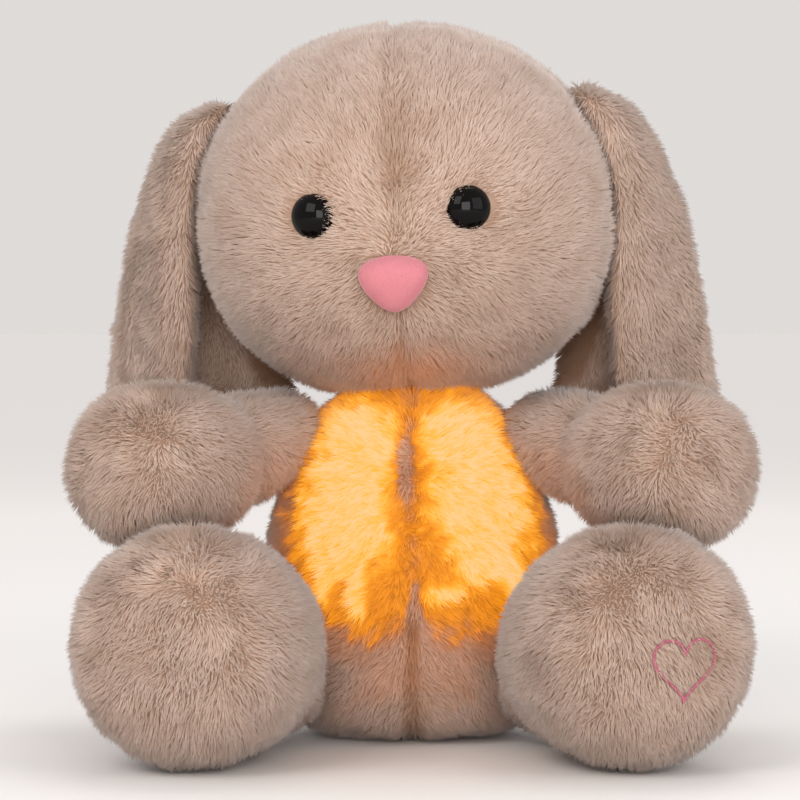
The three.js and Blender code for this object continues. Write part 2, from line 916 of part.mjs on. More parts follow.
// Room that a button, its stem and its washer take out of the skin and filling
function buttonRooms(button) {
  const floor = -furWall + faceHole.floor;
  const stem = button.stemRadius + boreClearance;
  const end = -button.sink - button.stemLength - fillingGap;
  const washerTop = -furWall - fillingGap;
  const washerBottom = washerTop - washer.thickness - washer.under;
  const washerRoom = washer.radius + faceHole.clearance;
  return {
    skin: [
      rodZ(button.seatRadius, floor, overrun, 0, 0, discSides),
      rodZ(stem, end, overrun, 0, 0),
      rodZ(washerRoom, washerBottom, washerTop + washer.under / 2, 0, 0, discSides),
    ],
    filling: [
      rodZ(washerRoom, washerBottom, overrun, 0, 0, discSides),
      rodZ(stem, end, overrun, 0, 0),
    ],
  };
}

const faceButtons = [
  ...sides.map(([name, side]) => ({
    name: `eye_${name}`,
    washer: `eye_washer_${name}`,
    sizes: eye,
    shape: eyeShape(),
    finish: glossBlackFinish,
    frame: faceFrame(side * eye.side, eye.up),
  })),
  {
    name: 'nose',
    washer: 'nose_washer',
    sizes: nose,
    shape: join(noseShape(), rodZ(nose.stemRadius, -nose.sink - nose.stemLength, 0, 0, 0)),
    finish: flockFinish,
    frame: faceFrame(0, nose.up),
  },
];
const recess = ball(cushionOuter + neck.cushionGap * 2, 0, 0, 0, torso.sides);
const skinRooms = faceButtons.flatMap(({ sizes, frame }) =>
  buttonRooms(sizes).skin.map((room) => placed(room, frame)),
);
const fillingRooms = faceButtons.flatMap(({ sizes, frame }) =>
  buttonRooms(sizes).filling.map((room) => placed(room, frame)),
);
const headSkin = cut(headForm(0), headForm(-furWall), recess, ...skinRooms);
const headFilling = cut(headForm(-furWall - fillingGap, head.sides / 2), recess, ...fillingRooms);
addPiece(headGroup, 'head_skin', headSkin, furFinish);
addPiece(headGroup, 'head_filling', headFilling, fillingFinish);
for (const button of faceButtons) {
  const piece = addPiece(headGroup, button.name, button.shape, button.finish);
  const lock = addPiece(headGroup, button.washer, washerShape(button.sizes.stemRadius), clearPlasticFinish);
  for (const mesh of [piece, lock]) {
    button.frame.decompose(mesh.position, mesh.quaternion, mesh.scale);
  }
}

// Ears, in the frame of the hinge seam at their roots
function earForm(side) {
  const rings = earShares.map(([down, out, wide]) => {
    const fade = (1 - down) ** 3;
    const turn = (ear.tipTurn + (ear.rootTurn - ear.tipTurn) * fade) * DEGREE;
    const width = wide * ear.halfWidth;
    const thick = ear.halfThickness * Math.min(1, wide * 2);
    return Array.from({ length: ear.sides }, (unused, k) => {
      const angle = (k / ear.sides) * FULL_TURN;
      const along = width * bulge(Math.cos(angle), ear.power);
      const across = thick * bulge(Math.sin(angle), ear.power);
      const x = out * head.halfWidth - ear.hingeSide + along * Math.cos(turn) - across * Math.sin(turn);
      const y = ear.back * down + along * Math.sin(turn) + across * Math.cos(turn);
      return new THREE.Vector3(side * x, y, ear.top - ear.hingeUp - down * ear.length);
    });
  });
  return loft(rings);
}

const earPivot = (side) => [head.side + side * ear.hingeSide, head.forward, head.up + ear.hingeUp];
const earMatrix = (side, angle) => {
  const flare = side < 0 ? ear.flare : 0;
  return chain(shift(...earPivot(side)), turnY(-side * (flare + angle) * DEGREE));
};
for (const [name, side] of sides) {
  const group = addGroup(headGroup, `ear_${name}_pivot`, ...earPivot(side));
  group.rotation.y = side < 0 ? ear.flare * DEGREE : 0;
  const stops = [0, 1 / 3, 2 / 3, 1].map((share) => share * ear.swing);
  const shields = stops.map((angle) => placed(headShield, earMatrix(side, angle).invert()));
  addPiece(group, `ear_${name}`, cut(earForm(side), ...shields), furFinish);
}

// Arms
for (const [name, side] of sides) {
  const group = addGroup(rabbit, `arm_${name}_pivot`, side * arm.side, arm.forward, arm.up);
  group.rotation.z = side * arm.splay * DEGREE;
  addPiece(group, `arm_${name}`, armSolid(side), furFinish);
}

// Legs, the left one with the switch, its lead and the stitched heart
const switchHole = join(
  rodY(
    footSwitch.radius + gap,
    footSwitchFront - gap,
    switchHousingBack + gap,
    heart.side,
    footSwitchUp,
    discSides,
  ),
  leadTube(legLeadRoute, lead.radius + lead.clearance, lead.legSteps),
);
const legGroups = {};
for (const [name, side] of sides) {
  const group = addGroup(rabbit, `leg_${name}_pivot`, side * leg.side, leg.forward, leg.up);
  group.rotation.z = side * leg.splay * DEGREE;
  legGroups[name] = group;
  const solid = side > 0 ? cut(legSolid(side), switchHole) : legSolid(side);
  addPiece(group, `leg_${name}`, solid, furFinish);
}
const legLead = meet(
  leadTube(legLeadRoute, lead.radius, lead.legSteps),
  box(-leg.reach, leg.reach, -leg.reach * 2, legLeadEnd - gap, -leg.reach, leg.reach),
);
addPiece(legGroups.left, 'leg_lead', legLead, leadFinish);
addPiece(rabbit, 'torso_lead', leadTube(torsoLeadRoute, lead.radius, lead.bodySteps), leadFinish);

const buttonBore = footSwitch.buttonDepth + footSwitch.travel + gap;
const switchHousing = cut(
  rodY(footSwitch.radius, switchHousingFront, switchHousingBack, heart.side, footSwitchUp, discSides),
  rodY(
    footSwitch.buttonRadius + gap,
    switchHousingFront - gap,
    switchHousingFront + buttonBore,
    heart.side,
    footSwitchUp,
    discSides,
  ),
);
const switchButton = rodY(
  footSwitch.buttonRadius,
  footSwitchFront,
  footSwitchFront + footSwitch.buttonDepth,
  heart.side,
  footSwitchUp,
  discSides,
);
addPiece(legGroups.left, 'foot_switch_housing', switchHousing, shellFinish);
addPiece(legGroups.left, 'foot_switch_button', switchButton, blackPlasticFinish);

// How far along the leg its surface lies, at a place on the sole
function soleAlong(x, z) {
  const fat = Math.hypot(x / leg.halfWidth, z / leg.halfHeight);
  const last = legShares.length - 1;
  for (let i = last; i > 0; i -= 1) {
    const [outerAlong, outerFat] = legShares[i];
    const [innerAlong, innerFat] = legShares[i - 1];
    if (fat <= innerFat && fat >= outerFat) {
      const share = (innerFat - fat) / (innerFat - outerFat);
      return innerAlong + (outerAlong - innerAlong) * share;
    }
  }
  return legShares[last][0];
}

// The usual heart curve
function heartPoint(share) {
  const angle = share * FULL_TURN;
  const unit = heart.halfWidth / heartShares.halfWidth;
  const up =
    heartShares.rise * Math.cos(angle) -
    heartShares.lobes * Math.cos(2 * angle) -
    heartShares.sides * Math.cos(3 * angle) -
    heartShares.tip * Math.cos(4 * angle);
  return [heart.side + heart.halfWidth * Math.sin(angle) ** 3, heart.up + unit * up];
}

const threadOut = heart.threadRadius + gap;
const heartLine = Array.from({ length: heart.steps }, (unused, k) => {
  const [x, z] = heartPoint(k / heart.steps);
  return new THREE.Vector3(x, -soleAlong(x, z) * leg.reach - threadOut, leg.rise + z);
});
addPiece(
  legGroups.left,
  'foot_heart',
  tube(heartLine, heart.threadRadius, heart.threadSides, true),
  threadFinish,
);

// Zip: two tapes, the closed teeth, and the slider with its pull
const tapeBack = torso.backRadius - zip.tapeDepth;
for (const [name, side] of sides) {
  const [x0, x1] = side > 0 ? [zip.tapeInner, zip.tapeOuter] : [-zip.tapeOuter, -zip.tapeInner];
  addPiece(
    rabbit,
    `zip_tape_${name}`,
    backBand(x0, x1, tapeBack, tapeBack + zip.tapeThickness, zip.bottom, zip.top),
    tapeFinish,
  );
}
const teethBack = torso.backRadius - zip.teethDepth;
addPiece(
  rabbit,
  'zip_teeth',
  backBand(
    -zip.teethHalfWidth,
    zip.teethHalfWidth,
    teethBack,
    teethBack + zip.teethThickness,
    zip.bottom,
    zip.top,
  ),
  zipToothFinish,
);
const sliderGroup = addGroup(
  rabbit,
  'zip_slider_place',
  0,
  torso.backCentreY + torso.backRadius * Math.cos(slider.angle * DEGREE),
  torso.backCentreZ + torso.backRadius * Math.sin(slider.angle * DEGREE),
);
sliderGroup.rotation.x = slider.angle * DEGREE;
const shieldTop = slider.bottom + slider.thickness;
const sliderShape = join(
  box(-slider.halfWidth, slider.halfWidth, slider.bottom, shieldTop, -slider.halfLength, slider.halfLength),
  ...sides.map(([, side]) => {
    const middle = side * (slider.postInner + slider.postWidth / 2);
    return box(
      middle - slider.postWidth / 2,
      middle + slider.postWidth / 2,
      shieldTop - slider.barRadius,
      slider.postTop,
      -slider.postHalfLength,
      slider.postHalfLength,
    );
  }),
  rodX(
    slider.barRadius,
    -slider.postInner - slider.postWidth / 2,
    slider.postInner + slider.postWidth / 2,
    slider.barOut,
    0,
  ),
);
addPiece(sliderGroup, 'zip_slider', sliderShape, steelFinish);
const pullGroup = addGroup(sliderGroup, 'zip_pull_pivot', 0, slider.barOut, 0);
const pullShape = cut(
  join(
    rodX(pull.eyeRadius, -pull.eyeHalfWidth, pull.eyeHalfWidth, 0, 0),
    box(-pull.eyeHalfWidth, pull.eyeHalfWidth, -pull.thickness / 2, pull.thickness / 2, -pull.start * 2, 0),
    box(
      -pull.halfWidth,
      pull.halfWidth,
      -pull.thickness / 2,
      pull.thickness / 2,
      -pull.start - pull.length,
      -pull.start,
    ),
  ),
  rodX(slider.barRadius + boreClearance, -overrun, overrun, 0, 0),
);
addPiece(pullGroup, 'zip_pull', pullShape, steelFinish);

// Module: the pouch, a sleeve open in front and behind
const sleeveOuter = module.halfWidth + pouch.gap + pouch.wall;
const sleeveInner = module.halfWidth + pouch.gap;
const knobSlot = box(
  modeSwitch.x - modeSwitch.knobHalfWidth - modeSwitch.travel - gap,
  modeSwitch.x + modeSwitch.knobHalfWidth + modeSwitch.travel + gap,
  modeSwitch.y - modeSwitch.knobHalfDepth - gap,
  modeSwitch.y + modeSwitch.knobHalfDepth + gap,
  module.height - module.wall - gap,
  module.height + overrun,
);
const pouchShape = cut(
  box(
    -sleeveOuter,
    sleeveOuter,
    0,
    module.depth,
    -pouch.gap - pouch.wall,
    module.height + pouch.gap + pouch.wall,
  ),
  box(
    -sleeveInner,
    sleeveInner,
    -overrun,
    module.depth + overrun,
    -pouch.gap,
    module.height + pouch.gap,
  ),
  knobSlot,
);
addPiece(moduleGroup, 'module_pouch', pouchShape, tapeFinish);

// Front shell: drive, sound and light
const innerHalf = module.halfWidth - module.wall;
const innerTop = module.height - module.wall;
const lugInner = plate.barrelHalfWidth + gap;
const lugOuter = lugInner + plate.lugWidth;
const soundHoles = Array.from({ length: soundHole.count }, (unused, k) => {
  const angle = (k / soundHole.count) * FULL_TURN;
  return rodY(
    soundHole.radius,
    -overrun,
    module.wall + gap,
    speaker.x + soundHole.ring * Math.cos(angle),
    speaker.z + soundHole.ring * Math.sin(angle),
    soundHole.sides,
  );
});
const frontShell = cut(
  join(
    cut(
      box(-module.halfWidth, module.halfWidth, 0, module.split, 0, module.height),
      box(-innerHalf, innerHalf, module.wall, module.split + overrun, module.wall, innerTop),
    ),
    ...sides.map(([, side]) => {
      const edge = side * screw.x;
      const wallSide = side * (innerHalf + module.wall / 2);
      return box(
        Math.min(edge - side * boss.radius, wallSide),
        Math.max(edge - side * boss.radius, wallSide),
        module.split - boss.frontDepth,
        module.split,
        screw.z - boss.radius,
        screw.z + boss.radius,
      );
    }),
    ...sides.map(([, side]) =>
      box(
        Math.min(side * lugInner, side * lugOuter),
        Math.max(side * lugInner, side * lugOuter),
        -plate.lugDepth,
        module.wall / 2,
        0,
        plate.lugHeight,
      ),
    ),
  ),
  rodX(plate.pinRadius + boreClearance, -overrun, overrun, plate.hingeY, plate.hingeZ),
  box(
    window.left,
    window.right,
    -overrun,
    module.wall + gap,
    cam.z - window.halfHeight,
    cam.z + window.halfHeight,
  ),
  ...sides.map(([, side]) =>
    rodY(glow.radius + boreClearance, -overrun, module.wall + gap, side * glow.x, glow.z),
  ),
  ...sides.map(([, side]) =>
    rodY(
      screw.radius + gap,
      module.split - boss.frontDepth + gap,
      module.split + overrun,
      side * screw.x,
      screw.z,
    ),
  ),
  rodY(soundHole.radius, -overrun, module.wall + gap, speaker.x, speaker.z, soundHole.sides),
  ...soundHoles,
);
addPiece(moduleGroup, 'front_shell', frontShell, shellFinish);

// Rear shell: battery bay, door opening and the mode switch's slot
const rearFront = module.split + gap;
const bayFront = rearFront + bay.divider;
const doorFront = module.depth - door.thickness;
const bayBack = doorFront - gap;
const doorBottom = module.wall + gap;
const doorTop = innerTop - gap;
const headSeat = module.depth - screw.headHeight * 2;
const bayOuter = bay.halfWidth + bay.wall;
const doorRoom = door.halfWidth + gap;
const rearShell = cut(
  join(
    cut(
      box(-module.halfWidth, module.halfWidth, rearFront, module.depth, 0, module.height),
      box(-innerHalf, innerHalf, bayFront, bayBack, module.wall, innerTop),
      box(-doorRoom, doorRoom, bayFront, module.depth + overrun, module.wall, innerTop),
    ),
    ...sides.map(([, side]) =>
      box(
        Math.min(side * bay.halfWidth, side * bayOuter),
        Math.max(side * bay.halfWidth, side * bayOuter),
        rearFront,
        bayBack,
        module.wall / 2,
        bay.roofZ + bay.wall,
      ),
    ),
    box(-bayOuter, bayOuter, rearFront, bayBack, bay.roofZ, bay.roofZ + bay.wall),
    rodY(boss.radius, rearFront, bayBack, 0, door.screwZ),
    ...sides.map(([, side]) =>
      rodY(boss.radius, rearFront, headSeat + screw.headHeight, side * screw.x, screw.z),
    ),
  ),
  rodY(screw.radius + gap, bayFront, module.depth + overrun, 0, door.screwZ),
  box(
    -innerHalf + bay.wall,
    innerHalf - bay.wall,
    bayFront,
    bayFront + bay.wireNotch,
    module.wall,
    module.wall + bay.wireNotch,
  ),
  ...sides.map(([, side]) =>
    rodY(screw.radius + gap, rearFront - overrun, module.depth + overrun, side * screw.x, screw.z),
  ),
  ...sides.map(([, side]) =>
    rodY(screw.headRadius + gap, headSeat - gap, module.depth + overrun, side * screw.x, screw.z),
  ),
  knobSlot,
);
addPiece(moduleGroup, 'rear_shell', rearShell, shellFinish);

// Battery door with its screw, and the screws that close the shells
function screwShape(length) {
  return join(
    rodY(screw.headRadius, 0, screw.headHeight, 0, 0),
    rodY(screw.radius, -length, screw.headHeight / 2, 0, 0),
  );
}
const doorRecess = door.thickness - screw.headHeight / 2;
const batteryDoor = cut(
  box(-door.halfWidth, door.halfWidth, doorFront, module.depth, doorBottom, doorTop),
  rodY(screw.radius + gap, doorFront - overrun, module.depth + overrun, 0, door.screwZ),
  rodY(screw.headRadius + gap, doorFront + doorRecess - gap, module.depth + overrun, 0, door.screwZ),
);
addPiece(moduleGroup, 'battery_door', batteryDoor, shellFinish);
const doorScrew = addPiece(moduleGroup, 'battery_door_screw', screwShape(screw.length / 2), steelFinish);
doorScrew.position.set(0, doorFront + doorRecess, door.screwZ);
for (const [name, side] of sides) {
  const piece = addPiece(moduleGroup, `shell_screw_${name}`, screwShape(screw.length), steelFinish);
  piece.position.set(side * screw.x, headSeat, screw.z);
}

// Cells, alternately up and down, with their contacts
function cellShape() {
  const body = cell.length - cell.nubHeight;
  return lathe(
    [
      [0, 0],
      [cell.radius, 0],
      [cell.radius, body],
      [cell.nubRadius, body],
      [cell.nubRadius, cell.length],
      [0, cell.length],
    ],
    cell.sides,
  );
}
const cellTop = cell.bottom + cell.length;
const cellPlaces = [-1, 0, 1].map((step) => ({ x: step * cell.pitch, up: step !== 0 }));
cellPlaces.forEach(({ x, up }, index) => {
  const piece = addPiece(moduleGroup, `cell_${index + 1}`, cellShape(), cellFinish);
  piece.position.set(x, cell.y, up ? cell.bottom : cellTop);
  piece.rotation.x = up ? 0 : Math.PI;
});

// A strip against the bay's end, with a small coil where it meets a minus end
function contactShape(x0, x1, springX, atTop) {
  const wallZ = atTop ? bay.roofZ - gap : module.wall + gap;
  const inward = atTop ? -1 : 1;
  const cellEnd = atTop ? cellTop : cell.bottom;
  const plateZ = wallZ + inward * contact.thickness;
  const strip = box(
    x0,
    x1,
    cell.y - contact.depth / 2,
    cell.y + contact.depth / 2,
    Math.min(wallZ, plateZ),
    Math.max(wallZ, plateZ),
  );
  if (springX === null) {
    return strip;
  }
  const reach = Math.abs(cellEnd - plateZ) - gap - contact.wireRadius;
  const steps = contact.springSteps;
  const coil = Array.from({ length: steps + 1 }, (unused, k) => {
    const angle = (k / steps) * contact.turns * FULL_TURN;
    return new THREE.Vector3(
      springX + contact.springRadius * Math.cos(angle),
      cell.y + contact.springRadius * Math.sin(angle),
      plateZ + inward * (k / steps) * reach,
    );
  });
  return join(strip, tube(coil, contact.wireRadius, contact.wireSides));
}
const [leftCell, midCell, rightCell] = cellPlaces.map(({ x }) => x);
const half = contact.halfWidth;
addPiece(
  moduleGroup,
  'contact_plus',
  contactShape(leftCell - half, leftCell + half, null, true),
  steelFinish,
);
addPiece(
  moduleGroup,
  'contact_bridge_bottom',
  contactShape(leftCell - half, midCell + half, leftCell, false),
  steelFinish,
);
addPiece(
  moduleGroup,
  'contact_bridge_top',
  contactShape(midCell - half, rightCell + half, midCell, true),
  steelFinish,
);
addPiece(
  moduleGroup,
  'contact_minus',
  contactShape(rightCell - half, rightCell + half, rightCell, false),
  steelFinish,
);

// Motor with the worm on its shaft
const motorShape = cut(
  join(
    meet(
      rodZ(motor.radius, motor.bottom, motor.top, motor.x, motor.y, discSides),
      box(
        motor.x - motor.radius,
        motor.x + motor.radius,
        motor.y - motor.halfFlat,
        motor.y + motor.halfFlat,
        motor.bottom,
        motor.top,
      ),
    ),
    rodZ(motor.bossRadius, motor.top - motor.bossHeight, motor.top + motor.bossHeight, motor.x, motor.y),
  ),
  rodZ(
    motor.shaftRadius + boreClearance,
    motor.top - motor.shaftDepth,
    motor.top + overrun,
    motor.x,
    motor.y,
  ),
);
addPiece(moduleGroup, 'motor', motorShape, steelFinish);

const wormPlace = addGroup(moduleGroup, 'worm_axis', motor.x, motor.y, compound.z);
function wormShape() {
  const length = worm.top - worm.bottom;
  const count = Math.round((length / worm.lead) * worm.ringsPerTurn);
  const rings = Array.from({ length: count + 1 }, (unused, r) => {
    const z = worm.bottom - compound.z + (r / count) * length;
    return Array.from({ length: worm.sides }, (unusedToo, k) => {
      const angle = (k / worm.sides) * FULL_TURN;
      const phase = angle - Math.PI / 2 - (z / worm.lead) * FULL_TURN + Math.PI;
      const crest = Math.max(0, 1 - (1 - Math.cos(phase)) / worm.threadShare);
      const radius = worm.rootRadius + (worm.tipRadius - worm.rootRadius) * crest;
      return new THREE.Vector3(radius * Math.cos(angle), radius * Math.sin(angle), z);
    });
  });
  const stubTop = worm.bottom - compound.z + worm.rootRadius;
  const stubBottom = motor.top - motor.shaftDepth + gap - compound.z;
  return join(loft(rings), rodZ(motor.shaftRadius, stubBottom, stubTop, 0, 0));
}
addPiece(wormPlace, 'motor_worm', wormShape(), steelFinish);

// Gear outline of [y, z] places, one tooth centred on the phase angle
function gearOutline(teeth, phase) {
  const pitchRadius = (teeth * gears.module) / 2;
  const tooth = FULL_TURN / teeth;
  const tip = pitchRadius + gears.addendum;
  const root = pitchRadius - gears.dedendum;
  const corners = [
    [root, -gears.rootShare],
    [tip, -gears.tipShare],
    [tip, gears.tipShare],
    [root, gears.rootShare],
  ];
  return Array.from({ length: teeth }, (unused, k) => k).flatMap((k) =>
    corners.map(([radius, share]) => {
      const angle = phase + (k + share) * tooth;
      return [radius * Math.cos(angle), radius * Math.sin(angle)];
    }),
  );
}

// Worm gear: a slanted wheel, a hub and the pinion in one moulding
const meshAngle = Math.atan2(cam.z - compound.z, cam.y - compound.y);
function wormGearShape() {
  const pitchRadius = (compound.wheelTeeth * gears.module) / 2;
  const slant = worm.lead / (FULL_TURN * worm.pitchRadius) / pitchRadius;
  const ringAt = (x) => {
    const phase = Math.PI + slant * (x - motor.x);
    return gearOutline(compound.wheelTeeth, phase).map(([y, z]) => new THREE.Vector3(x, y, z));
  };
  const wheel = loft([ringAt(compound.wheelLeft), ringAt(compound.wheelRight)]);
  const hubRadius = (compound.pinionTeeth * gears.module) / 2 - gears.dedendum;
  const hub = rodX(hubRadius, compound.wheelLeft, compound.pinionRight, 0, 0);
  const pinion = slabX(
    gearOutline(compound.pinionTeeth, meshAngle),
    compound.pinionLeft,
    compound.pinionRight,
  );
  return cut(join(wheel, hub, pinion), rodX(axle.radius + boreClearance, -overrun * 2, overrun * 2, 0, 0));
}
const wormGearPlace = addGroup(moduleGroup, 'worm_gear_axis', 0, compound.y, compound.z);
addPiece(wormGearPlace, 'worm_gear', wormGearShape(), gearFinish);

// Heart cam: it lifts the follower at an even rate for half a turn, then lowers it
function camOutline() {
  const pivot = new THREE.Vector2(plate.hingeY, plate.hingeZ);
  const centre = new THREE.Vector2(cam.y, cam.z);
  const rest = new THREE.Vector2(roller.y, cam.z).sub(pivot);
  const origin = new THREE.Vector2();
  const samples = 240;
  const follower = Array.from({ length: samples }, (unused, k) => {
    const turn = (k / samples) * FULL_TURN;
    const lift = (Math.min(turn, FULL_TURN - turn) / breath.camTurn) * breath.angle;
    const lifted = rest.clone().rotateAround(origin, lift).add(pivot);
    return lifted.sub(centre).rotateAround(origin, -turn);
  });
  const reach = roller.radius + cam.play;
  return Array.from({ length: cam.steps }, (unused, k) => {
    const angle = (k / cam.steps) * FULL_TURN;
    const ray = new THREE.Vector2(Math.cos(angle), Math.sin(angle));
    const radius = follower.reduce((least, point) => {
      const along = point.dot(ray);
      const aside = Math.abs(point.cross(ray));
      const touches = along > 0 && aside < reach;
      return touches ? Math.min(least, along - Math.sqrt(reach ** 2 - aside ** 2)) : least;
    }, module.halfWidth);
    return [radius * ray.x, radius * ray.y];
  });
}
const gapPhase = meshAngle + Math.PI + Math.PI / cam.teeth;
const camGearShape = cut(
  join(
    slabX(gearOutline(cam.teeth, gapPhase), cam.gearLeft, cam.gearRight),
    slabX(camOutline(), cam.gearRight - gap, cam.right),
  ),
  rodX(axle.radius + boreClearance, -overrun, overrun, 0, 0),
);
const camPlace = addGroup(moduleGroup, 'cam_axis', 0, cam.y, cam.z);
addPiece(camPlace, 'cam_gear', camGearShape, gearFinish);

// Axles in the gearbox frame
const axleAt = (y, z) => rodX(axle.radius, axle.left, axle.right, y, z);
addPiece(moduleGroup, 'gear_axle', axleAt(compound.y, compound.z), steelFinish);
addPiece(moduleGroup, 'cam_axle', axleAt(cam.y, cam.z), steelFinish);
const gearboxFrame = cut(
  join(
    box(
      gearFrame.left,
      gearFrame.left + gearFrame.plateWidth,
      gearFrame.front,
      gearFrame.back,
      gearFrame.bottom,
      gearFrame.top,
    ),
    box(
      gearFrame.rightPlate,
      gearFrame.rightPlate + gearFrame.plateWidth,
      gearFrame.front,
      gearFrame.back,
      gearFrame.bottom + gearFrame.plateWidth,
      gearFrame.top,
    ),
    box(
      gearFrame.left,
      gearFrame.rightPlate + gearFrame.plateWidth,
      gearFrame.back - gearFrame.webThickness,
      gearFrame.back,
      gearFrame.bottom + gearFrame.plateWidth,
      gearFrame.top,
    ),
  ),
  rodX(axle.radius + boreClearance, -overrun * 2, overrun * 2, compound.y, compound.z),
  rodX(axle.radius + boreClearance, -overrun * 2, overrun * 2, cam.y, cam.z),
);
addPiece(moduleGroup, 'gearbox_frame', gearboxFrame, shellFinish);

// Lift plate behind the belly, with its arm and the stud for the roller
const plateBack = plate.front + plate.thickness;
const liftPlate = cut(
  join(
    box(-plate.halfWidth, plate.halfWidth, plate.front, plateBack, plate.bottom, plate.top),
    box(
      -plate.barrelHalfWidth,
      plate.barrelHalfWidth,
      plate.front,
      plateBack,
      plate.hingeZ,
      plate.bottom + gap,
    ),
    rodX(plate.barrelRadius, -plate.barrelHalfWidth, plate.barrelHalfWidth, plate.hingeY, plate.hingeZ),
    box(
      armBar.left,
      armBar.right,
      plateBack - gap,
      roller.y + armBar.past,
      cam.z - armBar.halfHeight,
      cam.z + armBar.halfHeight,
    ),
    rodX(roller.studRadius, roller.left, armBar.right, roller.y, cam.z),
  ),
  rodX(plate.pinRadius + boreClearance, -overrun, overrun, plate.hingeY, plate.hingeZ),
);
addPiece(moduleGroup, 'lift_plate', liftPlate, gearFinish);
addPiece(
  moduleGroup,
  'plate_hinge_pin',
  rodX(plate.pinRadius, -lugOuter - gap, lugOuter + gap, plate.hingeY, plate.hingeZ),
  steelFinish,
);
const rollerShape = cut(
  rodX(roller.radius, roller.left, roller.right, roller.y, cam.z, discSides),
  rodX(roller.studRadius + boreClearance, -overrun, overrun, roller.y, cam.z),
);
addPiece(moduleGroup, 'follower_roller', rollerShape, gearFinish);

// Loudspeaker behind the sound holes
const speakerShape = lathe(
  [
    [0, 0],
    [speaker.radius, 0],
    [speaker.radius, speaker.rim],
    [speaker.magnetRadius, speaker.depth / 2],
    [speaker.magnetRadius, speaker.depth],
    [0, speaker.depth],
  ],
  speaker.sides,
).rotateX(-Math.PI / 2);
const speakerPiece = addPiece(moduleGroup, 'speaker', speakerShape, blackPlasticFinish);
speakerPiece.position.set(speaker.x, speaker.front, speaker.z);

// Circuit board with its chip and lead socket
const boardBack = board.y + board.thickness;
const circuitBoard = join(
  box(board.left, board.right, board.y, boardBack, board.bottom, board.top),
  box(
    chip.x - chip.halfWidth,
    chip.x + chip.halfWidth,
    board.y - chip.thickness,
    boardBack - board.thickness / 2,
    chip.z - chip.halfHeight,
    chip.z + chip.halfHeight,
  ),
  box(
    plug.x - plug.halfWidth,
    plug.x + plug.halfWidth,
    board.y - plug.thickness,
    boardBack - board.thickness / 2,
    plug.z - plug.halfHeight,
    plug.z + plug.halfHeight,
  ),
);
addPiece(moduleGroup, 'circuit_board', circuitBoard, boardFinish);

// Glow boards: one lamp each, looking out through the front
for (const [name, side] of sides) {
  const front = module.wall + gap;
  const shape = join(
    box(
      side * glow.x - glow.boardHalfWidth,
      side * glow.x + glow.boardHalfWidth,
      front,
      front + glow.boardThickness,
      glow.z - glow.boardHalfHeight,
      glow.z + glow.boardHalfHeight,
    ),
    rodY(glow.radius, -glow.out, front + glow.boardThickness / 2, side * glow.x, glow.z),
  );
  addPiece(moduleGroup, `led_board_${name}`, shape, clearPlasticFinish);
}

// Mode switch under the top wall, with its sliding knob
const switchTop = innerTop - gap;
const modeBody = cut(
  box(
    modeSwitch.x - modeSwitch.halfWidth,
    modeSwitch.x + modeSwitch.halfWidth,
    modeSwitch.y - modeSwitch.halfDepth,
    modeSwitch.y + modeSwitch.halfDepth,
    switchTop - modeSwitch.height,
    switchTop,
  ),
  box(
    modeSwitch.x - modeSwitch.knobHalfWidth - modeSwitch.travel - gap,
    modeSwitch.x + modeSwitch.knobHalfWidth + modeSwitch.travel + gap,
    modeSwitch.y - modeSwitch.knobHalfDepth - gap,
    modeSwitch.y + modeSwitch.knobHalfDepth + gap,
    switchTop - modeSwitch.height / 2,
    switchTop + overrun,
  ),
);
addPiece(moduleGroup, 'mode_switch_body', modeBody, blackPlasticFinish);
addPiece(
  moduleGroup,
  'mode_switch_knob',
  box(
    modeSwitch.x - modeSwitch.knobHalfWidth,
    modeSwitch.x + modeSwitch.knobHalfWidth,
    modeSwitch.y - modeSwitch.knobHalfDepth,
    modeSwitch.y + modeSwitch.knobHalfDepth,
    switchTop - modeSwitch.height / 2 + gap,
    module.height + modeSwitch.knobRise,
  ),
  blackPlasticFinish,
);

export default rabbit;
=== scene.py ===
"""A seated plush rabbit with a glowing belly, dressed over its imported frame."""

import json
import logging
from dataclasses import dataclass
from enum import Enum
from math import cos, pi, radians, sin

import bmesh
import bpy
import numpy as np
from mathutils import Matrix, Vector
from mathutils.bvhtree import BVHTree

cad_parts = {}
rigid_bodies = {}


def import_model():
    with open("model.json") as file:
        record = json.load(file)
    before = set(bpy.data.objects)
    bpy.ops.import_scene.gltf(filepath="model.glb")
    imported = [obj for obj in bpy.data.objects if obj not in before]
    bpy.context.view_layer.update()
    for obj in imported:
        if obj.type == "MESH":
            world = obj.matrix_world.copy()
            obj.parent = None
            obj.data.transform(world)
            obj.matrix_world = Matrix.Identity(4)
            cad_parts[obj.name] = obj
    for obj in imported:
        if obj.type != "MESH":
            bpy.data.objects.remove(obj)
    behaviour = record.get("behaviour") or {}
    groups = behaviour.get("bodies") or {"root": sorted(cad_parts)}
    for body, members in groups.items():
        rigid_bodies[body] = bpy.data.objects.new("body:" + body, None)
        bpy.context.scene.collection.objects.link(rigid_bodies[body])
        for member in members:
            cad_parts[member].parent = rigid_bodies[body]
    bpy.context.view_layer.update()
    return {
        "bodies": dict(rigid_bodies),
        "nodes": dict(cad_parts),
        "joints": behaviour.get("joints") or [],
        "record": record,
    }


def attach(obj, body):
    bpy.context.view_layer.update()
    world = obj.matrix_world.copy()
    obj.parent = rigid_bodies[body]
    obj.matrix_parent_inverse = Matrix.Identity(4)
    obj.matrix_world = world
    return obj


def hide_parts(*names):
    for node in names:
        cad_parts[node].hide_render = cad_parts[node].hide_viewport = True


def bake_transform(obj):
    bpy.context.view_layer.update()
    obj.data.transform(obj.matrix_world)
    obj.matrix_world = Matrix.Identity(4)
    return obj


MM = 0.001
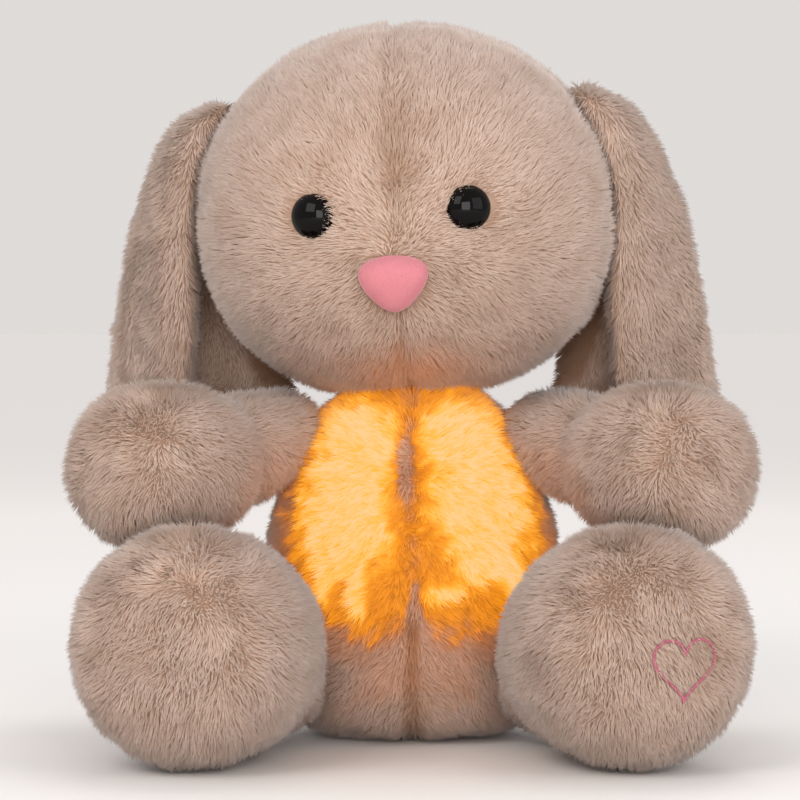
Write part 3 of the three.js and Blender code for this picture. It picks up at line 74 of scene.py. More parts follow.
# A strand is a three-sided spike: its points, its faces, and its margin in the bake map
STRAND_POINTS = 4
STRAND_FACES = 3
CELL_MARGIN = 0.07
log = logging.getLogger("rabbit")


class Side(Enum):
    """The two hands of the toy, by the sign of X."""

    LEFT = 1
    RIGHT = -1

    @property
    def word(self) -> str:
        """The side's word in the names of the pieces."""
        return self.name.lower()


def linear(code: str) -> tuple[float, float, float, float]:
    """Turn a screen colour into a scene colour.

    Args:
        code: six hexadecimal digits.

    Returns:
        Red, green, blue and alpha for a shader's socket.
    """
    parts = [int(code[i : i + 2], 16) / 255 for i in (0, 2, 4)]
    return tuple(p / 12.92 if p < 0.04045 else ((p + 0.055) / 1.055) ** 2.4 for p in parts) + (1.0,)


def smooth(values: np.ndarray, low: float, high: float) -> np.ndarray:
    """Ease from 0 at low to 1 at high.

    Args:
        values: what is eased.
        low: where the result is 0.
        high: where the result is 1.

    Returns:
        The eased shares.
    """
    share = np.clip((values - low) / (high - low), 0, 1)
    return share * share * (3 - 2 * share)


def unit(vectors: np.ndarray) -> np.ndarray:
    """Bring each row to length 1.

    Args:
        vectors: one vector a row.

    Returns:
        The unit vectors.
    """
    return vectors / np.maximum(np.linalg.norm(vectors, axis=-1, keepdims=True), 1e-9)


def bulge(value: np.ndarray, power: float) -> np.ndarray:
    """Square off a circle's sine or cosine into a fuller curve.

    Args:
        value: sines or cosines.
        power: 2 keeps the circle, and more is squarer.

    Returns:
        The fuller curve's values.
    """
    return np.sign(value) * np.abs(value) ** (2 / power)


class Graph:
    """A node tree with short ways to add and join its nodes."""

    def __init__(self, tree: bpy.types.NodeTree) -> None:
        """Keep the tree that the nodes go into."""
        self.tree = tree

    def feed(self, socket: bpy.types.NodeSocket, value: object) -> None:
        """Join another socket to this one, or set its value.

        Args:
            socket: the input.
            value: an output socket, or a plain value.
        """
        if isinstance(value, bpy.types.NodeSocket):
            self.tree.links.new(value, socket)
        else:
            socket.default_value = value

    def add(self, kind: str, inputs: dict | None = None, **settings: object) -> bpy.types.Node:
        """Add a node.

        Args:
            kind: its type.
            inputs: values or sockets by input name or number.
            **settings: its own properties.

        Returns:
            The node.
        """
        node = self.tree.nodes.new(kind)
        for key, value in settings.items():
            setattr(node, key, value)
        for key, value in (inputs or {}).items():
            self.feed(node.inputs[key], value)
        return node

    def maths(self, operation: str, *values: object) -> bpy.types.NodeSocket:
        """Add a sum on numbers.

        Args:
            operation: which sum.
            *values: its terms.

        Returns:
            The result's socket.
        """
        node = self.add("ShaderNodeMath", dict(enumerate(values)), operation=operation)
        return node.outputs[0]

    def vectors(self, operation: str, *values: object) -> bpy.types.NodeSocket:
        """Add a sum on vectors.

        Args:
            operation: which sum.
            *values: its terms, and for SCALE the vector and the factor.

        Returns:
            The result's socket.
        """
        node = self.add("ShaderNodeVectorMath", operation=operation)
        if operation == "SCALE":
            self.feed(node.inputs[0], values[0])
            self.feed(node.inputs["Scale"], values[1])
        else:
            for number, value in enumerate(values):
                self.feed(node.inputs[number], value)
        return node.outputs[0]

    def times(self, first: object, second: object) -> bpy.types.NodeSocket:
        """Multiply two numbers."""
        return self.maths("MULTIPLY", first, second)

    def times_plus(self, first: object, second: object, third: object) -> bpy.types.NodeSocket:
        """Multiply two numbers and add a third."""
        return self.maths("MULTIPLY_ADD", first, second, third)

    def blend(self, share: object, first: object, second: object) -> bpy.types.NodeSocket:
        """Mix two colours.

        Args:
            share: how much of the second.
            first: the first colour.
            second: the second colour.

        Returns:
            The mixed colour's socket.
        """
        node = self.add(
            "ShaderNodeMix", {0: share, 6: first, 7: second}, data_type="RGBA", clamp_factor=True
        )
        return node.outputs[2]

    def spread(
        self, value: object, low: float, high: float, new_low: float, new_high: float
    ) -> bpy.types.NodeSocket:
        """Map a range of numbers to another, held at its ends.

        Args:
            value: what is mapped.
            low: start of the old range.
            high: end of the old range.
            new_low: start of the new range.
            new_high: end of the new range.

        Returns:
            The mapped value's socket.
        """
        node = self.add(
            "ShaderNodeMapRange", {0: value, 1: low, 2: high, 3: new_low, 4: new_high}, clamp=True
        )
        return node.outputs[0]


def add_sockets(tree: bpy.types.NodeTree, way: str, kind: str, *names: str) -> None:
    """Give a tree named inputs or outputs.

    Args:
        tree: the tree.
        way: INPUT or OUTPUT.
        kind: the sockets' type, such as Float.
        *names: their names.
    """
    for name in names:
        tree.interface.new_socket(name, in_out=way, socket_type=f"NodeSocket{kind}")


def grain_group() -> bpy.types.NodeTree:
    """Build the fine grain that hard surfaces share: small noise in colour, gloss and height.

    Returns:
        The group, with a size in and masks and a height out.
    """
    tree = bpy.data.node_groups.new("grain", "ShaderNodeTree")
    add_sockets(tree, "INPUT", "Float", "Size", "Cloud Size")
    add_sockets(tree, "OUTPUT", "Float", "Speck", "Cloud", "Height")
    graph = Graph(tree)
    sizes = graph.add("NodeGroupInput")
    place = graph.add("ShaderNodeTexCoord").outputs["Object"]
    speck = graph.add(
        "ShaderNodeTexNoise", {"Vector": place, "Scale": sizes.outputs[0], "Detail": 3.0}
    )
    cloud = graph.add(
        "ShaderNodeTexNoise", {"Vector": place, "Scale": sizes.outputs[1], "Detail": 2.0}
    )
    out = graph.add("NodeGroupOutput")
    graph.feed(out.inputs["Speck"], graph.spread(speck.outputs[0], 0.35, 0.65, 0.0, 1.0))
    graph.feed(out.inputs["Cloud"], graph.spread(cloud.outputs[0], 0.3, 0.7, 0.0, 1.0))
    graph.feed(out.inputs["Height"], speck.outputs[0])
    return tree


def weave_group() -> bpy.types.NodeTree:
    """Build a plain weave: two crossed sets of threads, over and under.

    Returns:
        The group, with threads per metre in and a mask and a height out.
    """
    tree = bpy.data.node_groups.new("weave", "ShaderNodeTree")
    add_sockets(tree, "INPUT", "Float", "Threads")
    add_sockets(tree, "OUTPUT", "Float", "Mask", "Height")
    graph = Graph(tree)
    sizes = graph.add("NodeGroupInput")
    place = graph.add("ShaderNodeTexCoord").outputs["Object"]
    scaled = graph.vectors("SCALE", place, sizes.outputs[0])
    parts = graph.add("ShaderNodeSeparateXYZ", {0: scaled})
    across = graph.maths("SINE", graph.times(parts.outputs[0], pi))
    along = graph.maths("SINE", graph.times(parts.outputs[2], pi))
    over = graph.times(across, along)
    out = graph.add("NodeGroupOutput")
    graph.feed(out.inputs["Mask"], graph.spread(over, -0.6, 0.6, 0.0, 1.0))
    graph.feed(out.inputs["Height"], graph.spread(over, -1.0, 1.0, 0.0, 1.0))
    return tree


def new_material(name: str) -> tuple[bpy.types.Material, Graph, bpy.types.Node]:
    """Start a material with its one Principled shader.

    Args:
        name: the finish's name.

    Returns:
        The material, its graph and its shader.
    """
    material = bpy.data.materials.new(name)
    material.use_nodes = True
    graph = Graph(material.node_tree)
    return material, graph, material.node_tree.nodes["Principled BSDF"]


@dataclass(frozen=True)
class SolidFinish:
    """A hard or plain finish: moulded plastic, metal, lacquer, thread or rubber."""

    name: str
    colour: str
    shade: str
    roughness: float = 0.45
    uneven: float = 0.12
    metallic: float = 0.0
    grain: float = 900.0
    cloud: float = 60.0
    depth: float = 0.02
    coat: float = 0.0
    gleam: float = 0.5
    glow: str | None = None

    def build(self) -> bpy.types.Material:
        """Make the material: speckled colour, uneven gloss and a fine bump.

        Returns:
            The material.
        """
        material, graph, shader = new_material(self.name)
        grain = graph.add("ShaderNodeGroup", node_tree=bpy.data.node_groups["grain"])
        graph.feed(grain.inputs["Size"], self.grain)
        graph.feed(grain.inputs["Cloud Size"], self.cloud)
        both = graph.times_plus(grain.outputs["Speck"], 0.35, graph.times(grain.outputs["Cloud"], 0.5))
        colour = graph.blend(both, linear(self.colour), linear(self.shade))
        graph.feed(shader.inputs["Base Color"], colour)
        low = max(self.roughness - self.uneven, 0.02)
        graph.feed(
            shader.inputs["Roughness"],
            graph.spread(grain.outputs["Cloud"], 0.0, 1.0, low, min(self.roughness + self.uneven, 1.0)),
        )
        shader.inputs["Metallic"].default_value = self.metallic
        shader.inputs["Coat Weight"].default_value = self.coat
        shader.inputs["Specular IOR Level"].default_value = self.gleam
        shader.inputs["Coat Roughness"].default_value = 0.04
        bump = graph.add(
            "ShaderNodeBump",
            {"Strength": 0.4, "Distance": self.depth * MM, "Height": grain.outputs["Height"]},
        )
        graph.feed(shader.inputs["Normal"], bump.outputs[0])
        if self.glow:
            graph.feed(
                shader.inputs["Emission Color"],
                graph.blend(grain.outputs["Cloud"], linear(self.glow), linear(self.colour)),
            )
            shader.inputs["Emission Strength"].default_value = 1.0
        return material


@dataclass(frozen=True)
class ClothFinish:
    """A woven or knitted cloth."""

    name: str
    colour: str
    shade: str
    threads: float = 900.0
    depth: float = 0.15

    def build(self) -> bpy.types.Material:
        """Make the material: crossed threads in colour, roughness and bump, with a soft sheen.

        Returns:
            The material.
        """
        material, graph, shader = new_material(self.name)
        weave = graph.add("ShaderNodeGroup", node_tree=bpy.data.node_groups["weave"])
        graph.feed(weave.inputs["Threads"], self.threads)
        grain = graph.add("ShaderNodeGroup", node_tree=bpy.data.node_groups["grain"])
        graph.feed(grain.inputs["Size"], self.threads)
        graph.feed(grain.inputs["Cloud Size"], 40.0)
        tone = graph.times_plus(weave.outputs["Mask"], 0.6, graph.times(grain.outputs["Cloud"], 0.35))
        colour = graph.blend(tone, linear(self.shade), linear(self.colour))
        graph.feed(shader.inputs["Base Color"], colour)
        graph.feed(shader.inputs["Roughness"], graph.spread(weave.outputs["Mask"], 0.0, 1.0, 0.95, 0.75))
        shader.inputs["Sheen Weight"].default_value = 0.3
        bump = graph.add(
            "ShaderNodeBump",
            {"Strength": 0.6, "Distance": self.depth * MM, "Height": weave.outputs["Height"]},
        )
        graph.feed(shader.inputs["Normal"], bump.outputs[0])
        return material


@dataclass(frozen=True)
class PileFinish:
    """Plush pile: dark at the root in painted shade, pale at the tip, and lit from within over the belly.
    """

    name: str = "plush_pile"
    # Colours along a strand: the darker root is painted shade deep in the pile
    root: str = "B0937F"
    body: str = "CBAE9C"
    tip: str = "E6D1C5"
    # Colour of the random mottle, and of the painted shade and the dark seams
    patch: str = "A07E66"
    lit_cloth: str = "4A2204"
    blotches: float = 0.34
    # Brightness at which each colour of the glow stands
    glow_steps: tuple = (
        (0.0, "000000"),
        (0.08, "2E1402"),
        (0.25, "8A4600"),
        (0.42, "E08200"),
        (0.58, "F79A10"),
        (0.76, "FFB93C"),
        (1.0, "FFC98A"),
    )

    def build(self) -> bpy.types.Material:
        """Make the material from the strands' own attributes: rise, tint, glow, and the painted shade and
        dark seams.

        Returns:
            The material.
        """
        material, graph, shader = new_material(self.name)
        rise, tint, glow, dusk = (
            graph.add("ShaderNodeAttribute", attribute_name=name).outputs["Fac"]
            for name in ("rise", "tint", "glow", "dusk")
        )
        place = graph.add("ShaderNodeTexCoord").outputs["Object"]
        mottle = graph.add("ShaderNodeTexNoise", {"Vector": place, "Scale": 75.0, "Detail": 5.0})
        blotch = graph.spread(mottle.outputs[0], 0.35, 0.7, 0.0, 1.0)
        # Darker towards the root: painted shade deep in the pile
        low = graph.blend(graph.spread(rise, 0.0, 0.55, 0.0, 1.0), linear(self.root), linear(self.body))
        tips = graph.spread(rise, 0.35, 1.0, 0.0, 1.0)
        pale = graph.times(tips, graph.spread(tint, 0.0, 1.0, 0.25, 1.0))
        fur = graph.blend(pale, low, linear(self.tip))
        # Random mottle, plus painted shade and dark seams from the cloth's points
        dark = graph.times_plus(blotch, self.blotches, dusk)
        dark = graph.times(dark, graph.spread(tint, 0.0, 1.0, 1.2, 0.7))
        fur = graph.blend(dark, fur, linear(self.patch))
        uneven = graph.maths("SUBTRACT", tint, 0.5)
        rough_glow = graph.times_plus(uneven, graph.times(glow, 0.5), glow)
        lit = graph.times(rough_glow, graph.spread(rise, 0.0, 1.0, 0.82, 1.04))
        ramp = graph.add("ShaderNodeValToRGB", {0: lit})
        steps = ramp.color_ramp.elements
        while len(steps) < len(self.glow_steps):
            steps.new(0.5)
        for step, (at, colour) in zip(steps, self.glow_steps):
            step.position = at
            step.color = linear(colour)
        warm = graph.blend(graph.spread(glow, 0.08, 0.45, 0.0, 0.93), fur, linear(self.lit_cloth))
        graph.feed(shader.inputs["Base Color"], warm)
        graph.feed(shader.inputs["Roughness"], graph.spread(rise, 0.0, 1.0, 0.95, 0.7))
        graph.feed(shader.inputs["Emission Color"], ramp.outputs[0])
        shader.inputs["Emission Strength"].default_value = 1.0
        shader.inputs["Sheen Weight"].default_value = 0.25
        shader.inputs["Sheen Roughness"].default_value = 0.5
        shader.inputs["Specular IOR Level"].default_value = 0.25
        return material


@dataclass(frozen=True)
class FlockFinish:
    """Short flock on the nose."""

    name: str = "nose_flocking"
    colour: str = "C97B83"
    shade: str = "B6686F"

    def build(self) -> bpy.types.Material:
        """Make the material: pink fibres in colour and bump, with a strong sheen.

        Returns:
            The material.
        """
        material, graph, shader = new_material(self.name)
        grain = graph.add("ShaderNodeGroup", node_tree=bpy.data.node_groups["grain"])
        graph.feed(grain.inputs["Size"], 2600.0)
        graph.feed(grain.inputs["Cloud Size"], 140.0)
        tone = graph.times_plus(grain.outputs["Speck"], 0.45, graph.times(grain.outputs["Cloud"], 0.3))
        colour = graph.blend(tone, linear(self.colour), linear(self.shade))
        graph.feed(shader.inputs["Base Color"], colour)
        graph.feed(shader.inputs["Roughness"], graph.spread(grain.outputs["Speck"], 0.0, 1.0, 0.8, 1.0))
        shader.inputs["Sheen Weight"].default_value = 0.4
        shader.inputs["Sheen Tint"].default_value = linear("FFD7DE")
        bump = graph.add(
            "ShaderNodeBump", {"Strength": 0.6, "Distance": 0.25 * MM, "Height": grain.outputs["Height"]}
        )
        graph.feed(shader.inputs["Normal"], bump.outputs[0])
        return material


SOLID_FINISHES = {
    "eye_gloss": SolidFinish(
        "eye_gloss_black", "030202", "060404", 0.06, 0.02, grain=500, depth=0.001, gleam=0.14
    ),
    "lock_washer": SolidFinish("washer_plastic", "D9D6CC", "BDB8AA", 0.5),
    "embroidery": SolidFinish("stitching_thread", "C06E80", "9C4A60", 0.75, grain=3500, depth=0.1),
    "lead": SolidFinish("lead_rubber", "3A3634", "26221F", 0.6),
    "zip_teeth": SolidFinish("zip_teeth_plastic", "B49C8C", "93796A", 0.4),
    "steel": SolidFinish("bright_steel", "C9CACC", "8E9094", 0.3, 0.12, metallic=1.0, grain=1500),
    "brass": SolidFinish("turned_brass", "D7AE5C", "A67A2E", 0.3, 0.1, metallic=1.0, grain=1500),
    "shell": SolidFinish("moulded_shell", "E4E1DA", "CDC8BC", 0.48, grain=1300, depth=0.03),
    "gear": SolidFinish("gear_plastic", "EDEBE2", "D2CDBE", 0.38, grain=700),
    "black_plastic": SolidFinish("black_plastic", "232222", "121212", 0.5, grain=1100, depth=0.03),
    "board": SolidFinish("circuit_green", "2D6A44", "1E4C30", 0.4, 0.15, grain=400, cloud=160, coat=0.3),
    "cell": SolidFinish("cell_sleeve", "4E6E8E", "32506E", 0.32, 0.1, grain=200, cloud=90, coat=0.3),
    "lamp": SolidFinish("lamp_board", "F4E7C6", "E2C88E", 0.35, glow="FFB347"),
}


class Shop:
    """The finishes, each built once."""

    def __init__(self) -> None:
        """Build the shared groups and every finish."""
        grain_group()
        weave_group()
        self.by_slot = {slot: finish.build() for slot, finish in SOLID_FINISHES.items()}
        self.by_slot["nose_flock"] = FlockFinish().build()
        self.pile = PileFinish().build()
        self.backing = ClothFinish("plush_backing", "8A6E5B", "6C5342", 700.0).build()
        self.wadding = ClothFinish("wadding_fibre", "EFEBE4", "D8D2C8", 350.0, 0.5).build()
        self.sleeve = ClothFinish("sleeve_cloth", "D8C9BB", "B5A292", 1100.0).build()
        self.tape = ClothFinish("zip_tape_cloth", "A78D7B", "80685A", 1600.0).build()


def new_object(name: str, mesh: bpy.types.Mesh) -> bpy.types.Object:
    """Put a mesh into the scene.

    Args:
        name: the piece's name.
        mesh: its mesh.

    Returns:
        The object.
    """
    obj = bpy.data.objects.new(name, mesh)
    bpy.context.scene.collection.objects.link(obj)
    return obj


def mesh_from(name: str, points: np.ndarray, faces: list) -> bpy.types.Mesh:
    """Make a mesh with its faces turned outwards.

    Args:
        name: the mesh's name.
        points: its corners, in metres.
        faces: corner numbers of each face.

    Returns:
        The mesh, with its doubles merged.
    """
    mesh = bpy.data.meshes.new(name)
    mesh.from_pydata([tuple(p) for p in points], [], faces)
    form = bmesh.new()
    form.from_mesh(mesh)
    bmesh.ops.remove_doubles(form, verts=form.verts, dist=1e-7)
    bmesh.ops.recalc_face_normals(form, faces=form.faces)
    form.to_mesh(mesh)
    form.free()
    return mesh


def loft(name: str, rings: np.ndarray) -> bpy.types.Mesh:
    """Skin a stack of closed rings, and close both ends.

    Args:
        name: the mesh's name.
        rings: ring, corner and coordinate.

    Returns:
        The closed mesh.
    """
    count, sides = rings.shape[:2]
    faces = [
        (r * sides + k, r * sides + (k + 1) % sides, (r + 1) * sides + (k + 1) % sides, (r + 1) * sides + k)
        for r in range(count - 1)
        for k in range(sides)
    ]
    faces.append(tuple(range(sides)))
    faces.append(tuple((count - 1) * sides + k for k in range(sides)))
    return mesh_from(name, rings.reshape(-1, 3), faces)


def coords(mesh: bpy.types.Mesh) -> np.ndarray:
    """Read a mesh's points, one a row."""
    values = np.empty(len(mesh.vertices) * 3)
    mesh.vertices.foreach_get("co", values)
    return values.reshape(-1, 3)


def normals(mesh: bpy.types.Mesh) -> np.ndarray:
    """Read a mesh's smooth normals, one a row."""
    values = np.empty(len(mesh.vertices) * 3, np.float32)
    mesh.vertex_normals.foreach_get("vector", values)
    return values.reshape(-1, 3).astype(float)


def move_to(mesh: bpy.types.Mesh, points: np.ndarray) -> None:
    """Write a mesh's points back."""
    mesh.vertices.foreach_set("co", points.ravel())
    mesh.update()


def baked(obj: bpy.types.Object) -> bpy.types.Object:
    """Turn an object's live modifiers into its plain mesh.

    Args:
        obj: the object.

    Returns:
        The same object, without modifiers.
    """
    graph = bpy.context.evaluated_depsgraph_get()
    mesh = bpy.data.meshes.new_from_object(obj.evaluated_get(graph))
    obj.modifiers.clear()
    obj.data = mesh
    return obj


def remeshed(obj: bpy.types.Object, voxel: float, rounds: int) -> bpy.types.Object:
    """Give an object one even, softened skin.

    Args:
        obj: a closed form, or several that overlap.
        voxel: side of the new faces, in metres.
        rounds: how often the skin is smoothed.

    Returns:
        The same object.
    """
    skin = obj.modifiers.new("even", "REMESH")
    skin.mode = "VOXEL"
    skin.voxel_size = voxel
    soft = obj.modifiers.new("soft", "SMOOTH")
    soft.factor = 0.5
    soft.iterations = rounds
    baked(obj)
    obj.data.shade_smooth()
    return obj


def copy_of(node: bpy.types.Object, name: str, mirror: bool = False) -> bpy.types.Object:
    """Copy a node's mesh into a new object, merged into one skin.

    Args:
        node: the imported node.
        name: the new piece's name.
        mirror: turn it into the other hand.

    Returns:
        The new object.
    """
    mesh = node.data.copy()
    mesh.materials.clear()
    form = bmesh.new()
    form.from_mesh(mesh)
    bmesh.ops.remove_doubles(form, verts=form.verts, dist=1e-6)
    if mirror:
        for vert in form.verts:
            vert.co.x = -vert.co.x
        bmesh.ops.reverse_faces(form, faces=form.faces)
    form.to_mesh(mesh)
    form.free()
    return new_object(name, mesh)


def attribute(mesh: bpy.types.Mesh, name: str, values: np.ndarray) -> None:
    """Keep a number or a vector on each point of a mesh.

    Args:
        mesh: the mesh.
        name: the attribute's name.
        values: one number or one vector a point.
    """
    kind, slot = ("FLOAT_VECTOR", "vector") if values.ndim == 2 else ("FLOAT", "value")
    layer = mesh.attributes.get(name) or mesh.attributes.new(name, kind, "POINT")
    layer.data.foreach_set(slot, np.asarray(values, np.float32).ravel())


@dataclass(frozen=True)
class Glow:
    """Where the belly is lit, and how far its light reaches."""

    # Height, left edge and right edge of the lit cloth, in millimetres
    rows: tuple = (
        (34.0, -8.0, 12.0),
        (39.8, -23.0, 27.5),
        (45.8, -33.0, 39.0),
        (53.9, -43.0, 49.0),
        (62.0, -49.0, 55.0),
        (74.0, -53.5, 60.5),
        (86.0, -55.0, 60.0),
        (110.0, -51.0, 48.0),
        (120.0, -45.0, 43.5),
        (139.0, -43.0, 41.0),
        (152.0, -43.0, 41.0),
    )
    top: float = 152.0
    edge: float = 13.0
    # Centre across, centre up, half width and half height of each pale core
    cores: tuple = (
        (-25, 96, 20, 30),
        (-17, 126, 15, 13),
        (27, 99, 22, 29),
        (17, 127, 15, 13),
        (12, 64, 9, 3.5),
        (31, 74, 12, 7),
        (-21, 62, 4, 9),
        (-35, 68, 3.5, 9),
        (41, 66, 4, 9),
    )
    # Brightness of the lit cloth away from its pale cores, and what a core adds
    lit_level: float = 0.47
    core_gain: float = 0.55
    halo: float = 0.17
    fade: float = 24.0
    seam_patch: tuple = (-2.4, 115.5, 2.6, 13.5)
    wedge_top: float = 72.0
    wedge_share: float = 0.26
    lamps: tuple = ((-24, -66, 92), (26, -66, 94), (0, -64, 128), (0, -62, 64))
    reach: float = 36.0
    spill: float = 0.5
    most_spill: float = 0.3

    def belly(self, points: np.ndarray, out: np.ndarray) -> np.ndarray:
        """Work out how brightly each point of the body cloth is lit.

        Args:
            points: places on the cloth, in metres.
            out: outward directions there.

        Returns:
            Brightness from 0 to 1.
        """
        x, _, z = (points / MM).T
        levels, left, right = np.array(self.rows).T
        inside = np.minimum(x - np.interp(z, levels, left), np.interp(z, levels, right) - x)
        inside = np.minimum(np.minimum(inside, self.top - z), z - levels[0])
        ragged = np.sin(x * 0.42 + 2.1 * np.sin(z * 0.19)) * np.sin(z * 0.33 + 1.7 * np.sin(x * 0.23 + 1.0))
        fine = np.sin(x * 1.25 + np.sin(z * 0.9)) * np.sin(z * 0.7 + 1.3 * np.sin(x * 0.8))
        inside = inside + 2.4 * ragged + 1.6 * fine
        mask = smooth(inside, -self.edge * 0.45, self.edge) * smooth(-out[:, 1], -0.1, 0.3)
        core = sum(
            np.exp(-((((x - cx) / rx) ** 2 + ((z - cz) / rz) ** 2) ** 2)) for cx, cz, rx, rz in self.cores
        )
        core = smooth(core + 0.22 * ragged + 0.2 * fine, 0.1, 0.95)
        lit = mask * (self.lit_level + self.core_gain * core)
        across, up, wide, tall = self.seam_patch
        lit *= 1 - 0.85 * np.exp(-(((x - across) / wide) ** 4) - ((z - up) / tall) ** 4)
        lit *= 1 - 0.3 * np.exp(-((x / 1.8) ** 2)) * smooth(z, 60, 80)
        wide = np.maximum(self.wedge_top - z, 0.01) * self.wedge_share
        lit *= smooth(np.abs(x - 1.0) / wide, 0.2, 1.1)
        lit *= 0.3 + 0.7 * smooth(z + 4 * ragged + 3 * fine, levels[0], levels[0] + self.fade)
        halo = self.halo * smooth(inside, -self.edge * 2.6, 0) * smooth(-out[:, 1], -0.1, 0.4)
        return np.clip(np.maximum(lit, halo), 0, 1)

    def around(self, points: np.ndarray, out: np.ndarray) -> np.ndarray:
        """Work out the light that falls from the belly on what is near it.

        Args:
            points: places on the other pieces, in metres.
            out: outward directions there.

        Returns:
            Brightness, low away from the belly.
        """
        total = np.zeros(len(points))
        for lamp in self.lamps:
            ray = np.array(lamp) - points / MM
            length = np.linalg.norm(ray, axis=1)
            facing = np.clip((ray * out).sum(1) / length, 0, 1)
            seen = np.clip(ray[:, 1] / length * -1 + 1.05, 0, 1)
            total += facing * seen * (self.reach / np.maximum(length, 12)) ** 2
        return np.clip(self.spill * total / len(self.lamps), 0, self.most_spill)


def end_tree(graph: Graph, placed: bpy.types.NodeSocket, finish: bpy.types.NodeSocket) -> None:
    """Turn a tree's instances into one mesh, and give it its finish.

    Args:
        graph: the tree's graph.
        placed: the instances.
        finish: the material's input.
    """
    real = graph.add("GeometryNodeRealizeInstances", {0: placed}).outputs[0]
    dressed = graph.add("GeometryNodeSetMaterial", {"Geometry": real, "Material": finish})
    graph.add("NodeGroupOutput", {0: dressed.outputs[0]})


def pile_tree() -> bpy.types.NodeTree:
    """Build the plush pile: strands on a cloth, combed, clumped and leaning.

    Returns:
        The geometry tree, with its sizes as named inputs.
    """
    tree = bpy.data.node_groups.new("pile", "GeometryNodeTree")
    add_sockets(tree, "INPUT", "Geometry", "Geometry")
    sizes = ("Density", "Length", "Width", "Stand", "Lean", "Clump", "Pull", "Ruffle")
    add_sockets(tree, "INPUT", "Float", *sizes)
    add_sockets(tree, "INPUT", "Int", "Seed")
    add_sockets(tree, "INPUT", "Material", "Finish")
    add_sockets(tree, "OUTPUT", "Geometry", "Geometry")
    graph = Graph(tree)
    given = graph.add("NodeGroupInput").outputs

    def field(name: str, kind: str = "FLOAT") -> bpy.types.NodeSocket:
        """Read an attribute of the cloth."""
        return graph.add("GeometryNodeInputNamedAttribute", {"Name": name}, data_type=kind).outputs[0]

    def chance(low: float, high: float, shift: int) -> bpy.types.NodeSocket:
        """Draw an even random number for each strand."""
        seed = graph.maths("ADD", given["Seed"], float(shift))
        return graph.add("FunctionNodeRandomValue", {2: low, 3: high, "Seed": seed}).outputs[1]

    roots = graph.add(
        "GeometryNodeDistributePointsOnFaces",
        {
            "Mesh": given["Geometry"],
            "Density": graph.times(given["Density"], field("pile")),
            "Seed": given["Seed"],
        },
        distribute_method="RANDOM",
    )
    place = graph.add("GeometryNodeInputPosition").outputs[0]
    cells = graph.add(
        "ShaderNodeTexVoronoi", {"Vector": place, "Scale": graph.maths("DIVIDE", 1.0, given["Clump"])}
    )
    waves = graph.add("ShaderNodeTexNoise", {"Vector": place, "Scale": 60.0, "Detail": 3.0})
    wave = graph.vectors("SUBTRACT", waves.outputs["Color"], (0.5, 0.5, 0.5))
    jitter = graph.add(
        "FunctionNodeRandomValue",
        {0: (-0.17, -0.17, -0.17), 1: (0.17, 0.17, 0.17), "Seed": given["Seed"]},
        data_type="FLOAT_VECTOR",
    ).outputs[0]
    gather = graph.vectors(
        "SCALE",
        graph.vectors("SUBTRACT", cells.outputs["Position"], place),
        graph.maths("DIVIDE", given["Pull"], given["Length"]),
    )
    lean = graph.vectors("SCALE", field("comb", "FLOAT_VECTOR"), given["Lean"])
    stand = graph.vectors("SCALE", field("out", "FLOAT_VECTOR"), given["Stand"])
    aim = graph.vectors("ADD", graph.vectors("ADD", lean, stand), gather)
    ruffled = graph.vectors("SCALE", wave, given["Ruffle"])
    aim = graph.vectors("ADD", graph.vectors("ADD", aim, jitter), ruffled)
    turn = graph.add("FunctionNodeAlignRotationToVector", {"Vector": aim}, axis="Z").outputs[0]
    wide = graph.times(given["Width"], chance(0.7, 1.25, 3))
    thin = graph.times(given["Width"], chance(0.5, 0.9, 4))
    long = graph.times(graph.times(given["Length"], field("grow")), chance(0.72, 1.18, 5))
    size = graph.add("ShaderNodeCombineXYZ", {0: wide, 1: thin, 2: long}).outputs[0]
    strand = graph.add(
        "GeometryNodeMeshCone",
        {"Vertices": 3, "Radius Top": 0.0, "Radius Bottom": 1.0, "Depth": 1.0},
        fill_type="NONE",
    ).outputs["Mesh"]
    height = graph.add("ShaderNodeSeparateXYZ", {0: place}).outputs[2]
    strand = graph.add(
        "GeometryNodeStoreNamedAttribute",
        {"Geometry": strand, "Name": "rise", "Value": height},
        domain="POINT",
    ).outputs[0]
    cell_tone = graph.add("ShaderNodeSeparateXYZ", {0: cells.outputs["Color"]}).outputs[0]
    tone = graph.times_plus(cell_tone, 0.45, graph.times(chance(0.0, 1.0, 6), 0.55))
    points = graph.add(
        "GeometryNodeStoreNamedAttribute",
        {"Geometry": roots.outputs[0], "Name": "tint", "Value": tone},
        domain="POINT",
    ).outputs[0]
    strands = graph.add(
        "GeometryNodeInstanceOnPoints",
        {"Points": points, "Instance": strand, "Rotation": turn, "Scale": size},
    ).outputs[0]
    end_tree(graph, strands, given["Finish"])
    return tree


